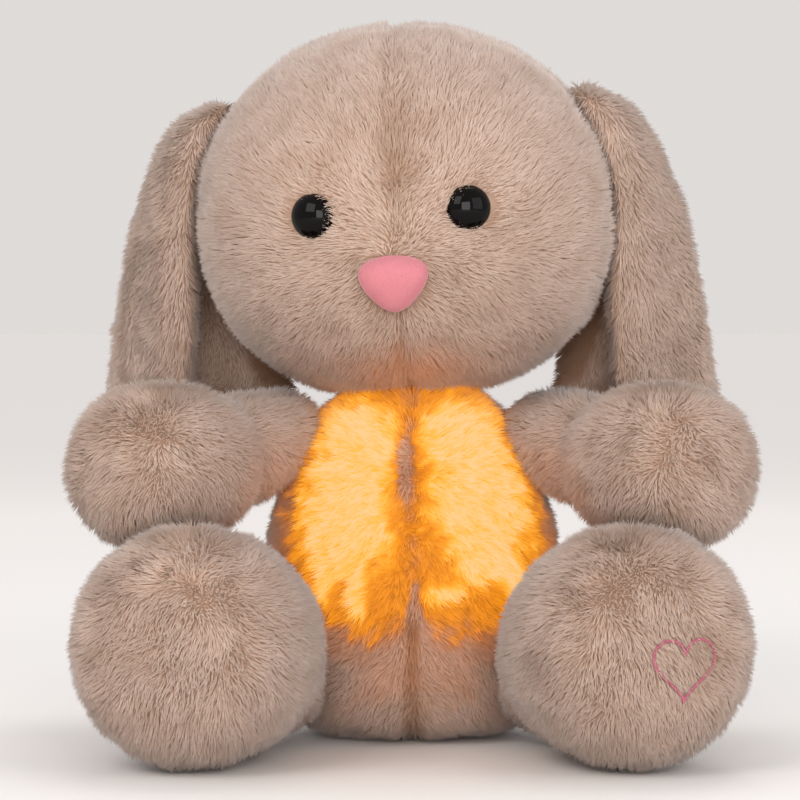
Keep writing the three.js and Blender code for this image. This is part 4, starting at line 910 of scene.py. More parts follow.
def row_tree() -> bpy.types.NodeTree:
    """Build a row of one small piece along a path, such as stitches or zip teeth.

    Returns:
        The geometry tree, with its sizes as named inputs.
    """
    tree = bpy.data.node_groups.new("row", "GeometryNodeTree")
    add_sockets(tree, "INPUT", "Geometry", "Geometry")
    add_sockets(tree, "INPUT", "Object", "Piece")
    add_sockets(tree, "INPUT", "Float", "Spacing")
    add_sockets(tree, "INPUT", "Material", "Finish")
    add_sockets(tree, "OUTPUT", "Geometry", "Geometry")
    graph = Graph(tree)
    given = graph.add("NodeGroupInput").outputs
    curve = graph.add("GeometryNodeMeshToCurve", {0: given["Geometry"]}).outputs[0]
    even = graph.add(
        "GeometryNodeResampleCurve", {"Curve": curve, "Length": given["Spacing"]}, mode="LENGTH"
    ).outputs[0]
    out, across = (
        graph.add("GeometryNodeInputNamedAttribute", {"Name": name}, data_type="FLOAT_VECTOR").outputs[0]
        for name in ("out", "across")
    )
    turn = graph.add("FunctionNodeAlignRotationToVector", {"Vector": out}, axis="Z").outputs[0]
    turn = graph.add(
        "FunctionNodeAlignRotationToVector", {"Rotation": turn, "Vector": across}, axis="X", pivot_axis="Z"
    ).outputs[0]
    piece = graph.add("GeometryNodeObjectInfo", {"Object": given["Piece"]}).outputs["Geometry"]
    placed = graph.add(
        "GeometryNodeInstanceOnPoints", {"Points": even, "Instance": piece, "Rotation": turn}
    ).outputs[0]
    end_tree(graph, placed, given["Finish"])
    return tree


def grown(obj: bpy.types.Object, tree: bpy.types.NodeTree, sizes: dict) -> bpy.types.Object:
    """Run a geometry tree on an object and keep the result as its plain mesh.

    Args:
        obj: the object that carries the tree's input.
        tree: the tree.
        sizes: values by input name.

    Returns:
        The same object, with the tree's result and no modifier.
    """
    modifier = obj.modifiers.new("made", "NODES")
    modifier.node_group = tree
    sockets = {item.name: item.identifier for item in tree.interface.items_tree if item.in_out == "INPUT"}
    for name, value in sizes.items():
        modifier[sockets[name]] = value
    return baked(obj)


@dataclass(frozen=True)
class Pile:
    """The sizes of one kind of pile, in millimetres and shares."""

    density: float = 2.1
    length: float = 5.6
    width: float = 0.42
    stand: float = 0.72
    lean: float = 0.55
    clump: float = 2.8
    pull: float = 0.4
    ruffle: float = 1.9

    def strands(self, cloth: bpy.types.Object, name: str, seed: int, shop: Shop) -> bpy.types.Object:
        """Grow the strands on a cloth whose points hold pile, comb, out, grow and glow.

        Args:
            cloth: the cloth.
            name: the new piece's name.
            seed: the random draw.
            shop: the finishes.

        Returns:
            The strands, as one plain mesh.
        """
        coat = new_object(name, cloth.data.copy())
        coat.data.materials.clear()
        grown(
            coat,
            bpy.data.node_groups["pile"],
            {
                "Density": self.density / MM**2,
                "Length": self.length * MM,
                "Width": self.width * MM,
                "Stand": self.stand,
                "Lean": self.lean,
                "Clump": self.clump * MM,
                "Pull": self.pull,
                "Ruffle": self.ruffle,
                "Seed": seed,
                "Finish": shop.pile,
            },
        )
        self.finish(coat.data)
        return coat

    @staticmethod
    def finish(mesh: bpy.types.Mesh) -> None:
        """Soften the strands' shading towards the cloth's, and give each its place in the bake map.

        Args:
            mesh: strands of four points and three faces each.
        """
        points = coords(mesh)
        points[:, 2] = np.maximum(points[:, 2], 0.3 * MM)
        move_to(mesh, points)
        out = np.empty(len(points) * 3, np.float32)
        mesh.attributes["out"].data.foreach_get("vector", out)
        mesh.shade_smooth()
        soft = unit(normals(mesh) * 0.55 + unit(out.reshape(-1, 3).astype(float)))
        mesh.normals_split_custom_set_from_vertices(soft.astype(np.float32))
        for spare in ("out", "comb", "pile", "grow"):
            mesh.attributes.remove(mesh.attributes[spare])
        corners = np.empty(len(mesh.loops), np.int32)
        mesh.loops.foreach_get("vertex_index", corners)
        strand = corners // STRAND_POINTS
        face = (np.arange(len(corners)) // 3) % STRAND_FACES
        tip = points_are_tips(mesh)[corners]
        side = int(np.ceil(np.sqrt(len(points) / STRAND_POINTS)))
        across = np.where(tip, 0.5, (face + np.where(first_roots(tip), 0, 1)) / STRAND_FACES)
        up = np.where(tip, 1.0, 0.0)
        inner = 1 - 2 * CELL_MARGIN
        flat = np.column_stack(
            [
                (strand % side + CELL_MARGIN + across * inner) / side,
                (strand // side + CELL_MARGIN + up * inner) / side,
            ]
        )
        layer = mesh.uv_layers.new(name="OFBake")
        layer.data.foreach_set("uv", flat.astype(np.float32).ravel())


def points_are_tips(mesh: bpy.types.Mesh) -> np.ndarray:
    """Tell which points of the strands are tips."""
    rise = np.empty(len(mesh.vertices), np.float32)
    mesh.attributes["rise"].data.foreach_get("value", rise)
    return rise > 0.5


def first_roots(tip: np.ndarray) -> np.ndarray:
    """Tell which of a face's two root corners comes first.

    Args:
        tip: which corners are tips, three corners a face.

    Returns:
        True where a corner is its face's first root.
    """
    rows = np.where(tip.reshape(-1, 3), 99, np.arange(3))
    return (rows == rows.min(axis=1, keepdims=True)).ravel()


@dataclass
class Form:
    """A stuffed piece: its cloth, and the pile that grows on it."""

    name: str
    node: str
    body: str
    pile: Pile
    seed: int
    inset: float = 3.9
    voxel: float = 3.0
    fill: float = 0.8

    def cloth(self, nodes: dict) -> bpy.types.Object:
        """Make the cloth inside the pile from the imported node's own form."""
        cloth = copy_of(nodes[self.node], f"{self.name}_cloth")
        remeshed(cloth, self.voxel * MM, 6)
        move_to(cloth.data, coords(cloth.data) - normals(cloth.data) * self.inset * MM)
        return cloth

    def comb(self, points: np.ndarray) -> np.ndarray:
        """Give the direction in which the pile is brushed."""
        return np.tile((0.0, 0.0, -1.0), (len(points), 1))

    def thickness(self, points: np.ndarray) -> np.ndarray:
        """Give the share of the full pile that each point carries."""
        return np.ones(len(points))

    def lit(self, points: np.ndarray, out: np.ndarray) -> np.ndarray:
        """Give the light that the belly throws on each point."""
        return Glow().around(points, out)

    def panels(self, points: np.ndarray) -> dict[str, np.ndarray]:
        """Split the pile into sewn panels, each a name and its share of every point."""
        return {"": np.ones(len(points))}

    def dusk(self, points: np.ndarray) -> np.ndarray:
        """Give how much each point is darkened, for painted shade or a dark seam."""
        return np.zeros(len(points))

    def length(self, points: np.ndarray) -> np.ndarray:
        """Give the share of the full strand length at each point."""
        return np.ones(len(points))

    def attach(self, obj: bpy.types.Object) -> None:
        """Make a finished piece ride on its body."""
        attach(obj, self.body)

    def build(self, nodes: dict, shop: Shop) -> list[bpy.types.Object]:
        """Make the cloth and its pile.

        Args:
            nodes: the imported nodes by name.
            shop: the finishes.

        Returns:
            The cloth and the panels of pile.
        """
        cloth = self.cloth(nodes)
        mesh = cloth.data
        points, out = coords(mesh), normals(mesh)
        flat = self.comb(points)
        flat = unit(flat - (flat * out).sum(1, keepdims=True) * out)
        thick = self.thickness(points)
        attribute(mesh, "out", out)
        attribute(mesh, "comb", flat)
        attribute(mesh, "glow", self.lit(points, out))
        attribute(mesh, "dusk", self.dusk(points))
        attribute(mesh, "grow", self.length(points))
        attribute(mesh, "rise", np.zeros(len(points)))
        attribute(mesh, "tint", np.full(len(points), 0.5))
        made = []
        for number, (panel, share) in enumerate(self.panels(points).items()):
            attribute(mesh, "pile", thick * share)
            name = f"{self.name}_pile_{panel}" if panel else f"{self.name}_pile"
            made.append(self.pile.strands(cloth, name, self.seed + number, shop))
        for spare in ("out", "comb", "grow", "pile"):
            mesh.attributes.remove(mesh.attributes[spare])
        mesh.materials.clear()
        mesh.materials.append(shop.pile)
        for piece in [cloth, *made]:
            self.attach(piece)
        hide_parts(self.node)
        count = sum(len(coat.data.vertices) // STRAND_POINTS for coat in made)
        log.info("%s: %s strands", self.name, count)
        return [cloth, *made]


@dataclass
class Head(Form):
    """The head: a wide full ball with a seam down its middle."""

    half_width: float = 88.0
    half_depth: float = 80.0
    half_height: float = 78.5
    lower_power: float = 2.35
    upper_power: float = 2.0
    plan_power: float = 2.1
    middle: tuple = (3.0, -1.0, 102.0)
    neck: tuple = (0.0, -3.0, 118.0)
    neck_radius: float = 42.0
    # How far the head leans to its side and turns, in degrees
    lean: tuple = (-3.0, -5.0)
    # The point in front of the nose that the pile is brushed away from
    brushed_from: tuple = (0.0, -74.0, -24.0)
    rings: int = 48
    sides: int = 96
    # Places on the face, across and up from its middle, and the radii that the eyes leave bare
    eye: tuple = (32.0, -3.0)
    nose: tuple = (0.0, -31.0)
    eye_bare: tuple = (7.9, 9.6)

    def place(self) -> Matrix:
        """Give the matrix from the head's own middle to the row frame, about the neck's middle."""
        aside, turned = (radians(angle) for angle in self.lean)
        lean = Matrix.Rotation(aside, 4, "Y") @ Matrix.Rotation(turned, 4, "Z")
        neck = Matrix.Translation(Vector(self.neck) * MM)
        return neck @ lean @ Matrix.Translation(Vector(self.middle) * MM)

    def own(self, points: np.ndarray) -> np.ndarray:
        """Turn places in the row frame into the head's own, in millimetres."""
        inverse = np.array(self.place().inverted())
        return (points @ inverse[:3, :3].T + inverse[:3, 3]) / MM

    def cloth(self, nodes: dict) -> bpy.types.Object:
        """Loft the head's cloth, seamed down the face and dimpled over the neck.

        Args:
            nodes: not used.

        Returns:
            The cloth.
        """
        angle = np.linspace(0, 2 * pi, self.sides, endpoint=False)
        rings = []
        for rise in np.linspace(-pi / 2, pi / 2, self.rings + 1)[1:-1]:
            power = self.lower_power if rise < 0 else self.upper_power
            fat = max(cos(rise), 0) ** (2 / power)
            high = (self.half_height - self.inset) * bulge(np.sin(rise), power)
            rings.append(
                np.column_stack(
                    [
                        fat * (self.half_width - self.inset) * bulge(np.cos(angle), self.plan_power),
                        fat * (self.half_depth - self.inset) * bulge(np.sin(angle), self.plan_power),
                        np.full(self.sides, high),
                    ]
                )
            )
        mesh = loft(f"{self.name}_cloth", np.array(rings) * MM)
        mesh.transform(self.place())
        cloth = remeshed(new_object(f"{self.name}_cloth", mesh), self.voxel * MM, 4)
        points, out = coords(cloth.data), normals(cloth.data)
        across = self.own(points)[:, 0]
        seam = np.exp(-((across / 2.6) ** 2))
        points -= out * (seam * 1.6 * MM)[:, None]
        neck, reach = np.array(self.neck) * MM, self.neck_radius * MM
        away = points - neck
        far = np.linalg.norm(away, axis=1, keepdims=True)
        move_to(cloth.data, np.where(far < reach, neck + away / far * reach, points))
        return cloth

    def face(self, x: float, z: float) -> Matrix:
        """Give the frame of a button on the face.

        Args:
            x: place across, from the head's middle, in millimetres.
            z: place up.

        Returns:
            Its frame in the row frame: origin on the outside of the fur, Z straight out.
        """

        def depth(across: float, up: float) -> float:
            """Give the depth of the face at a place.

            Args:
                across: place across, from the head's middle, in millimetres.
                up: place up.

            Returns:
                The depth, negative towards the front.
            """
            power = self.lower_power if up < 0 else self.upper_power
            fat = (1 - (abs(up) / self.half_height) ** power) ** (1 / power)
            share = abs(across) / (fat * self.half_width)
            return -fat * self.half_depth * (1 - share**self.plan_power) ** (1 / self.plan_power)

        step = self.half_width / 1000
        slope_x = (depth(x + step, z) - depth(x - step, z)) / (2 * step)
        slope_z = (depth(x, z + step) - depth(x, z - step)) / (2 * step)
        out = Vector((slope_x, -1, slope_z)).normalized()
        side = Vector((0, 0, 1)).cross(out).normalized()
        up = out.cross(side)
        frame = Matrix((side, up, out)).transposed().to_4x4()
        frame.translation = Vector((x, depth(x, z), z)) * MM
        return self.place() @ frame

    def comb(self, points: np.ndarray) -> np.ndarray:
        """Brush the pile away from the nose, up over the brow and back over the cheeks.

        Args:
            points: places on the cloth, in metres.

        Returns:
            The direction of the brushing at each.
        """
        own = self.own(points)
        way = unit(own - np.array(self.brushed_from))
        way[:, 0] += np.sign(own[:, 0]) * 0.55 * np.exp(-((own[:, 0] / 26) ** 2))
        way[:, 2] += 0.25 * smooth(own[:, 2], -20, 30)
        back = smooth(own[:, 1], 20, 60)
        way[:, 2] -= 0.8 * back
        turn = np.array(self.place())[:3, :3]
        return way @ turn.T

    def thickness(self, points: np.ndarray) -> np.ndarray:
        """Leave the eyes, the nose and the neck bare, and thin the pile on the seam.

        Args:
            points: places on the cloth, in metres.

        Returns:
            Each point's share of the full pile.
        """
        own = self.own(points)
        share = np.ones(len(points))
        for x in (-self.eye[0], self.eye[0]):
            away = np.hypot(own[:, 0] - x * 1.04, own[:, 2] - self.eye[1])
            share *= np.where(own[:, 1] < 0, smooth(away, *self.eye_bare), 1)
        wide, up = own[:, 0] / 13.5, (own[:, 2] - self.nose[1]) / 11.5
        share *= np.where(own[:, 1] < 0, smooth(np.hypot(wide, up), 0.8, 1.05), 1)
        away = np.linalg.norm(points / MM - np.array(self.neck), axis=1)
        share *= smooth(away, self.neck_radius - 0.5, self.neck_radius + 3)
        return share * (1 - 0.5 * np.exp(-((own[:, 0] / 1.2) ** 2)))

    def dusk(self, points: np.ndarray) -> np.ndarray:
        """Darken the brow beside the seam, and the seam itself."""
        own = self.own(points)
        brow = np.exp(-(((own[:, 0] - 4) / 9) ** 2) - ((own[:, 2] - 20) / 26) ** 2)
        seam = np.exp(-((own[:, 0] / 1.5) ** 2))
        return np.maximum(0.5 * brow, 0.35 * seam) * (own[:, 1] < 0)

    def panels(self, points: np.ndarray) -> dict[str, np.ndarray]:
        """Split the pile at the face's seam and at the ears.

        Args:
            points: places on the cloth, in metres.

        Returns:
            Each panel's share of every point, by its name.
        """
        own = self.own(points)
        left, front = own[:, 0] > 0, own[:, 1] < 0
        return {
            "face_left": (left & front).astype(float),
            "face_right": (~left & front).astype(float),
            "crown_left": (left & ~front).astype(float),
            "crown_right": (~left & ~front).astype(float),
        }


@dataclass
class Torso(Form):
    """The body: a pear that leans on its back arc, with a seam down the belly."""

    height: float = 158.0
    half_width: float = 63.0
    front: float = 58.0
    back_radius: float = 110.0
    back_y: float = -60.0
    back_z: float = 75.0
    plan_power: float = 2.2
    dome: tuple = (0.0, -3.0, 118.0, 40.0)
    sides: int = 96
    # Height, half width and front depth of each level, as shares
    levels: tuple = (
        (0, 0.6, 0.62),
        (0.06, 0.82, 0.84),
        (0.14, 0.93, 0.95),
        (0.26, 0.99, 1),
        (0.4, 1, 1),
        (0.54, 0.97, 0.95),
        (0.66, 0.89, 0.86),
        (0.76, 0.79, 0.75),
        (0.84, 0.66, 0.6),
        (0.9, 0.49, 0.45),
    )
    zip_levels: tuple = (38.0, 136.0)
    zip_bare: float = 8.5
    # Where the cloth would start and end to follow the lift plate, in metres: fully over the belly's
    # round front, and not at all at the neck, the sides and the seat; nothing reads them
    breath_start: tuple = (0.0, -0.0468, 0.0)
    breath_end: tuple = (0.0, -0.06924, 0.00383)

    def back(self, z: float | np.ndarray, grow: float = 0.0) -> float | np.ndarray:
        """Give the depth of the back at a height, in millimetres."""
        return np.sqrt((self.back_radius + grow) ** 2 - (z - self.back_z) ** 2) + self.back_y

    def cloth(self, nodes: dict) -> bpy.types.Object:
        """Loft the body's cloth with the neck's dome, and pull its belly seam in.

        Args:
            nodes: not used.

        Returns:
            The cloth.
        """
        angle = np.linspace(0, 2 * pi, self.sides, endpoint=False)
        forward = np.sin(angle) < 0
        rings = []
        for number, (up, wide, deep) in enumerate(self.levels):
            z = up * self.height + (self.inset if number == 0 else 0)
            depth = np.where(forward, deep * self.front - self.inset, self.back(z, -self.inset))
            rings.append(
                np.column_stack(
                    [
                        (wide * self.half_width - self.inset) * bulge(np.cos(angle), self.plan_power),
                        depth * bulge(np.sin(angle), self.plan_power),
                        np.full(self.sides, z),
                    ]
                )
            )
        x, y, z, radius = self.dome
        ball = []
        for rise in np.linspace(-pi / 2, pi / 2, 25)[1:-1]:
            wide = (radius - self.inset) * cos(rise)
            level = np.full(self.sides, z + (radius - self.inset) * sin(rise))
            ball.append(np.column_stack([x + wide * np.cos(angle), y + wide * np.sin(angle), level]))
        form = bmesh.new()
        for part in (loft("pear", np.array(rings) * MM), loft("dome", np.array(ball) * MM)):
            form.from_mesh(part)
        mesh = bpy.data.meshes.new(f"{self.name}_cloth")
        form.to_mesh(mesh)
        form.free()
        cloth = remeshed(new_object(f"{self.name}_cloth", mesh), self.voxel * MM, 10)
        points, out = coords(cloth.data), normals(cloth.data)
        seam = np.exp(-((points[:, 0] / MM / 3.0) ** 2)) * smooth(-out[:, 1], 0, 0.4)
        move_to(cloth.data, points - out * (seam * 2.4 * MM)[:, None])
        return cloth

    def comb(self, points: np.ndarray) -> np.ndarray:
        """Brush the pile away from the seam, down the belly and up under the chin.

        Args:
            points: places on the cloth, in metres.

        Returns:
            The direction of the brushing at each.
        """
        x, y, z = (points / MM).T
        front = smooth(-y, -10, 20)
        way = np.zeros_like(points)
        way[:, 0] = np.sign(x) * (0.3 + 0.3 * front * np.exp(-((x / 40) ** 2)))
        way[:, 2] = -0.85 + 1.2 * front * smooth(z, 100, 138)
        return way

    def thickness(self, points: np.ndarray) -> np.ndarray:
        """Leave the zip, the neck's dome and the seat's middle bare.

        Args:
            points: places on the cloth, in metres.

        Returns:
            Each point's share of the full pile.
        """
        x, y, z = (points / MM).T
        low, high = self.zip_levels
        on_zip = (y > 10) & (z > low) & (z < high)
        share = np.where(on_zip, smooth(np.abs(x), self.zip_bare - 1.5, self.zip_bare + 0.5), 1.0)
        share *= 1 - 0.6 * np.exp(-((x / 1.2) ** 2)) * smooth(-y, 0, 10)
        under_head = smooth(z, 148, 152)
        share *= 1 - 0.97 * under_head
        seat = (1 - smooth(z, 5.5, 8.0)) * (1 - smooth(np.hypot(x, y), 20, 34))
        return share * (1 - seat)

    def dusk(self, points: np.ndarray) -> np.ndarray:
        """Darken the seam below the glow and down the back."""
        x, y, z = (points / MM).T
        return 1.5 * np.exp(-((x / 1.6) ** 2)) * np.where(y > 0, 1, 1 - smooth(z, 45, 66))

    def lit(self, points: np.ndarray, out: np.ndarray) -> np.ndarray:
        """Give the belly's own light."""
        return Glow().belly(points, out)

    def panels(self, points: np.ndarray) -> dict[str, np.ndarray]:
        """Split the pile at the belly seam and at the sides.

        Args:
            points: places on the cloth, in metres.

        Returns:
            Each panel's share of every point, by its name.
        """
        left, front = points[:, 0] > 0, points[:, 1] < 0
        return {
            "belly_left": (left & front).astype(float),
            "belly_right": (~left & front).astype(float),
            "back": (~front).astype(float),
        }

    def attach(self, obj: bpy.types.Object) -> None:
        """Hold the back's pile on the torso, and leave the belly's cloth and pile in place, on no body."""
        if obj.name.endswith("back"):
            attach(obj, "torso")
        else:
            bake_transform(obj)


@dataclass
class Limb(Form):
    """An arm or a leg: brushed outwards from one point."""

    side: Side = Side.LEFT
    source: str = ""
    origin: tuple = (56.0, -8.0, 125.0)
    pivot: tuple = (56.0, -8.0, 125.0)
    way: tuple = (0.62, -0.78, -0.1)
    # Where along the limb it is drawn in behind its ball, how deep and over what length
    waist: tuple = (38.0, 4.5, 10.0)
    # Strength of the painted shade around the swirl
    swirl: float = 0.45

    def point(self) -> np.ndarray:
        """Give the point that the pile is brushed away from, in metres."""
        return np.array(self.origin) * (self.side.value, 1, 1) * MM

    def cloth(self, nodes: dict) -> bpy.types.Object:
        """Make the cloth from the right limb's form, mirrored where it is the left's.

        Args:
            nodes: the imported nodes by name.

        Returns:
            The cloth.
        """
        mirror = self.source != self.node
        cloth = copy_of(nodes[self.source], f"{self.name}_cloth", mirror)
        remeshed(cloth, self.voxel * MM, 6)
        points = coords(cloth.data) - normals(cloth.data) * self.inset * MM
        hand = np.array((self.side.value, 1, 1))
        way = unit(np.array([self.way]) * hand)[0]
        away = points - np.array(self.pivot) * hand * MM
        along = away @ way
        aside = away - along[:, None] * way
        at, deep, span = self.waist
        share = np.exp(-(((along / MM - at) / span) ** 2))
        reach = np.linalg.norm(aside, axis=1)
        drawn = np.minimum(share * deep * MM, reach * 0.4)
        move_to(cloth.data, points - unit(aside) * drawn[:, None])
        return cloth

    def comb(self, points: np.ndarray) -> np.ndarray:
        """Brush the pile away from its point."""
        return unit(points - self.point())

    def dusk(self, points: np.ndarray) -> np.ndarray:
        """Paint shade as a darker patch around the swirl that the pile is brushed from."""
        away = np.linalg.norm(points - self.point(), axis=1) / MM
        # Painted shade, strongest where the cloth comes nearest the swirl's point
        return self.swirl * np.exp(-(((away - away.min()) / 7.0) ** 2))


@dataclass
class Ear(Form):
    """A lop ear: a long padded leaf, brushed down."""

    plump: float = 4.0
    margin: float = 15.0
    side: Side = Side.LEFT
    head: Head | None = None
    # Inner half of the folded ear: its levels from the head's middle, how far it turns in behind
    # the head in degrees, and the least that it turns in radians
    fold_top: float = 50.0
    fold_bottom: float = -92.0
    fold_turn: float = 50.0
    fold_least: float = 0.25
    # Where it leaves the outer half, as a percentile of its turn, how high a band is measured for
    # that, and over what share of its width it comes to the head's side
    fold_edge: float = 72.0
    fold_band: float = 5.0
    fold_bridge: float = 0.55
    fold_clearance: float = 9.5
    fold_wall: float = 3.4
    fold_hang: float = 0.28
    fold_levels: int = 16
    fold_steps: int = 12

    def inner_half(self, outer: np.ndarray) -> bpy.types.Mesh:
        """Loft the ear's inner half, which leaves the outer half's rear edge and turns in behind the head.

        Args:
            outer: the points of the outer half's cloth, in metres.

        Returns:
            A closed leaf in the row frame, whose front edge lies inside the outer half.
        """
        head = self.head
        own = head.own(outer) * (self.side.value, 1, 1)
        middle, reach = (self.fold_top + self.fold_bottom) / 2, (self.fold_top - self.fold_bottom) / 2
        steps = np.linspace(0, 1, self.fold_steps)
        rings = []
        for share in np.linspace(0.985, -0.985, self.fold_levels):
            up = middle + share * reach
            narrow = (1 - abs(share) ** 3) ** 0.5
            full = self.fold_width(up)
            size = np.array((head.half_width, head.half_depth)) * full + self.fold_clearance
            gap = np.abs(own[:, 2] - up)
            band = own[gap < max(self.fold_band, gap.min() + 1.0)][:, :2] / size
            angle, far = np.arctan2(band[:, 1], band[:, 0]), np.hypot(band[:, 0], band[:, 1])
            begin = np.percentile(angle, self.fold_edge)
            begin_far = max(far[angle > begin].mean(), 1.0)
            finish = max(radians(self.fold_turn), begin + self.fold_least)
            along = steps * narrow
            turn = begin + along * (finish - begin)
            out = begin_far + (1.0 - begin_far) * smooth(along, 0.0, self.fold_bridge)
            line = np.stack([np.cos(turn), np.sin(turn)], axis=1) * out[:, None] * size
            ahead = unit(np.gradient(line, axis=0))
            aside = np.stack([ahead[:, 1], -ahead[:, 0]], axis=1)
            wall = self.fold_wall * narrow * np.sqrt(np.maximum(1 - (2 * steps - 1) ** 4, 0.04))
            edges = [(line + way * aside * wall[:, None])[::way] for way in (1, -1)]
            ring = np.concatenate(edges) * (self.side.value, 1)
            rings.append(np.column_stack([ring, np.full(len(ring), up)]))
        matrix = np.array(head.place())
        rings = np.array(rings) * MM @ matrix[:3, :3].T + matrix[:3, 3]
        return loft(f"{self.name}_inner_half", rings)

    def fold_width(self, up: float | np.ndarray) -> float | np.ndarray:
        """Give how wide the inner half stands at a level.

        Args:
            up: the level, from the head's middle, in millimetres.

        Returns:
            The width, as a share of the head's own at its middle.
        """
        level = np.clip(up / self.head.half_height, -1, 1)
        round_off = np.sqrt(1 - level**2)
        return np.where(level > 0, round_off, 1 - self.fold_hang * (1 - round_off))

    def dusk(self, points: np.ndarray) -> np.ndarray:
        """Paint shade on the inside of the fold, which lies close to the head in its shadow.

        Args:
            points: places on the cloth, in metres.

        Returns:
            How dark each is.
        """
        own = self.head.own(points)
        full = self.fold_width(own[:, 2])
        wide = own[:, 0] / (self.head.half_width * full + self.fold_clearance)
        deep = own[:, 1] / (self.head.half_depth * full + self.fold_clearance)
        turn = np.degrees(np.arctan2(deep, np.abs(wide)))
        inside = 1 - smooth(np.hypot(wide, deep), 0.97, 1.03)
        # Painted shade inside the fold, fading out above the head's middle
        return 1.3 * inside * smooth(turn, 7, 18) * (1 - smooth(own[:, 2], 5, 35))

    def cloth(self, nodes: dict) -> bpy.types.Object:
        """Make the cloth, fuller along the ear's middle than at its edges, with its inner half.

        Args:
            nodes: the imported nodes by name.

        Returns:
            The cloth.
        """
        cloth = super().cloth(nodes)
        for _ in range(2):
            points, out = coords(cloth.data), normals(cloth.data)
            edge = self.rim(points, out)
            lift = smooth(edge, 1.0, self.margin) * self.plump / 2 * MM
            move_to(cloth.data, points + out * lift[:, None])
        form = bmesh.new()
        for part in (cloth.data, self.inner_half(coords(cloth.data))):
            form.from_mesh(part)
        bmesh.ops.recalc_face_normals(form, faces=form.faces)
        form.to_mesh(cloth.data)
        form.free()
        return remeshed(cloth, self.voxel * MM, 8)

    def rim(self, points: np.ndarray, out: np.ndarray) -> np.ndarray:
        """Give each point's distance from the ear's rim, in millimetres.

        Args:
            points: places on the cloth, in metres.
            out: not used.

        Returns:
            The distances.
        """
        z = points[:, 2]
        distance = np.zeros(len(points))
        for low in np.arange(z.min(), z.max(), 6 * MM):
            band = (z >= low) & (z < low + 6 * MM)
            if band.sum() < 4:
                continue
            near = (z > low - 5 * MM) & (z < low + 11 * MM)
            flat = points[near][:, :2]
            middle = flat.mean(axis=0)
            _, _, axes = np.linalg.svd(flat - middle, full_matrices=False)
            along = (points[band][:, :2] - middle) @ axes[0]
            reach = np.abs((flat - middle) @ axes[0]).max()
            distance[band] = (reach - np.abs(along)) / MM
        ends = np.minimum(z - z.min(), z.max() - z) / MM
        return np.minimum(distance, ends)

    def comb(self, points: np.ndarray) -> np.ndarray:
        """Brush the pile down the ear and a little out to its edges."""
        middle = points.mean(axis=0)
        way = np.tile((0.0, 0.0, -1.0), (len(points), 1))
        way[:, 1] += np.sign(points[:, 1] - middle[1]) * 0.25
        return way


@dataclass
class Tail(Form):
    """The tail: a small ball, brushed out."""

    def comb(self, points: np.ndarray) -> np.ndarray:
        """Brush the pile outwards and down."""
        return unit(points - points.mean(axis=0)) + (0, 0.3, -0.5)


@dataclass
class FaceButton:
    """A safety eye or the nose: a domed button on the face."""

    node: str
    frame: Matrix
    slot: str
    half_width: float
    half_height: float
    # How deep its rim lies in the fur, and how high its dome stands over the rim
    sink: float = 3.0
    rise: float = 6.0
    wider: float = 0.0
    flatter: float = 0.0
    fullness: float = 2.0
    stem_radius: float = 2.5
    stem_length: float = 12.0
    sides: int = 48
    rings: int = 14

    def ring(self, share: float, height: float) -> np.ndarray:
        """Give one ring of the button's outline.

        Args:
            share: size of the ring against the outline.
            height: how far out it lies, in millimetres.

        Returns:
            The ring's points.
        """
        angle = np.linspace(0, 2 * pi, self.sides, endpoint=False)
        wide = np.cos(angle) * (1 + self.wider * np.sin(angle))
        tall = np.sin(angle) * (1 - self.flatter * np.sin(angle))
        return np.column_stack(
            [share * self.half_width * wide, share * self.half_height * tall, np.full(self.sides, height)]
        )

    def build(self, shop: Shop) -> bpy.types.Object:
        """Make the button with its stem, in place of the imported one.

        Args:
            shop: the finishes.

        Returns:
            The button.
        """
        stem = self.stem_radius / max(self.half_width, self.half_height)
        rings = [
            self.ring(stem, -self.sink - self.stem_length),
            self.ring(stem, -self.sink),
            self.ring(0.985, -self.sink),
        ]
        for number in range(self.rings + 1):
            turn = number / self.rings * pi / 2
            share = cos(turn) ** (2 / self.fullness) if number < self.rings else 0.0
            height = self.rise * sin(turn) ** (2 / self.fullness) - self.sink
            rings.append(self.ring(max(share, 0.001), height))
        mesh = loft(f"{self.node}_button", np.array(rings) * MM)
        mesh.transform(self.frame)
        mesh.shade_smooth()
        button = new_object(f"{self.node}_button", mesh)
        mesh.materials.append(shop.by_slot[self.slot])
        edge = button.modifiers.new("edge", "EDGE_SPLIT")
        edge.split_angle = radians(50)
        baked(button)
        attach(button, "head")
        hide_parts(self.node)
        return button


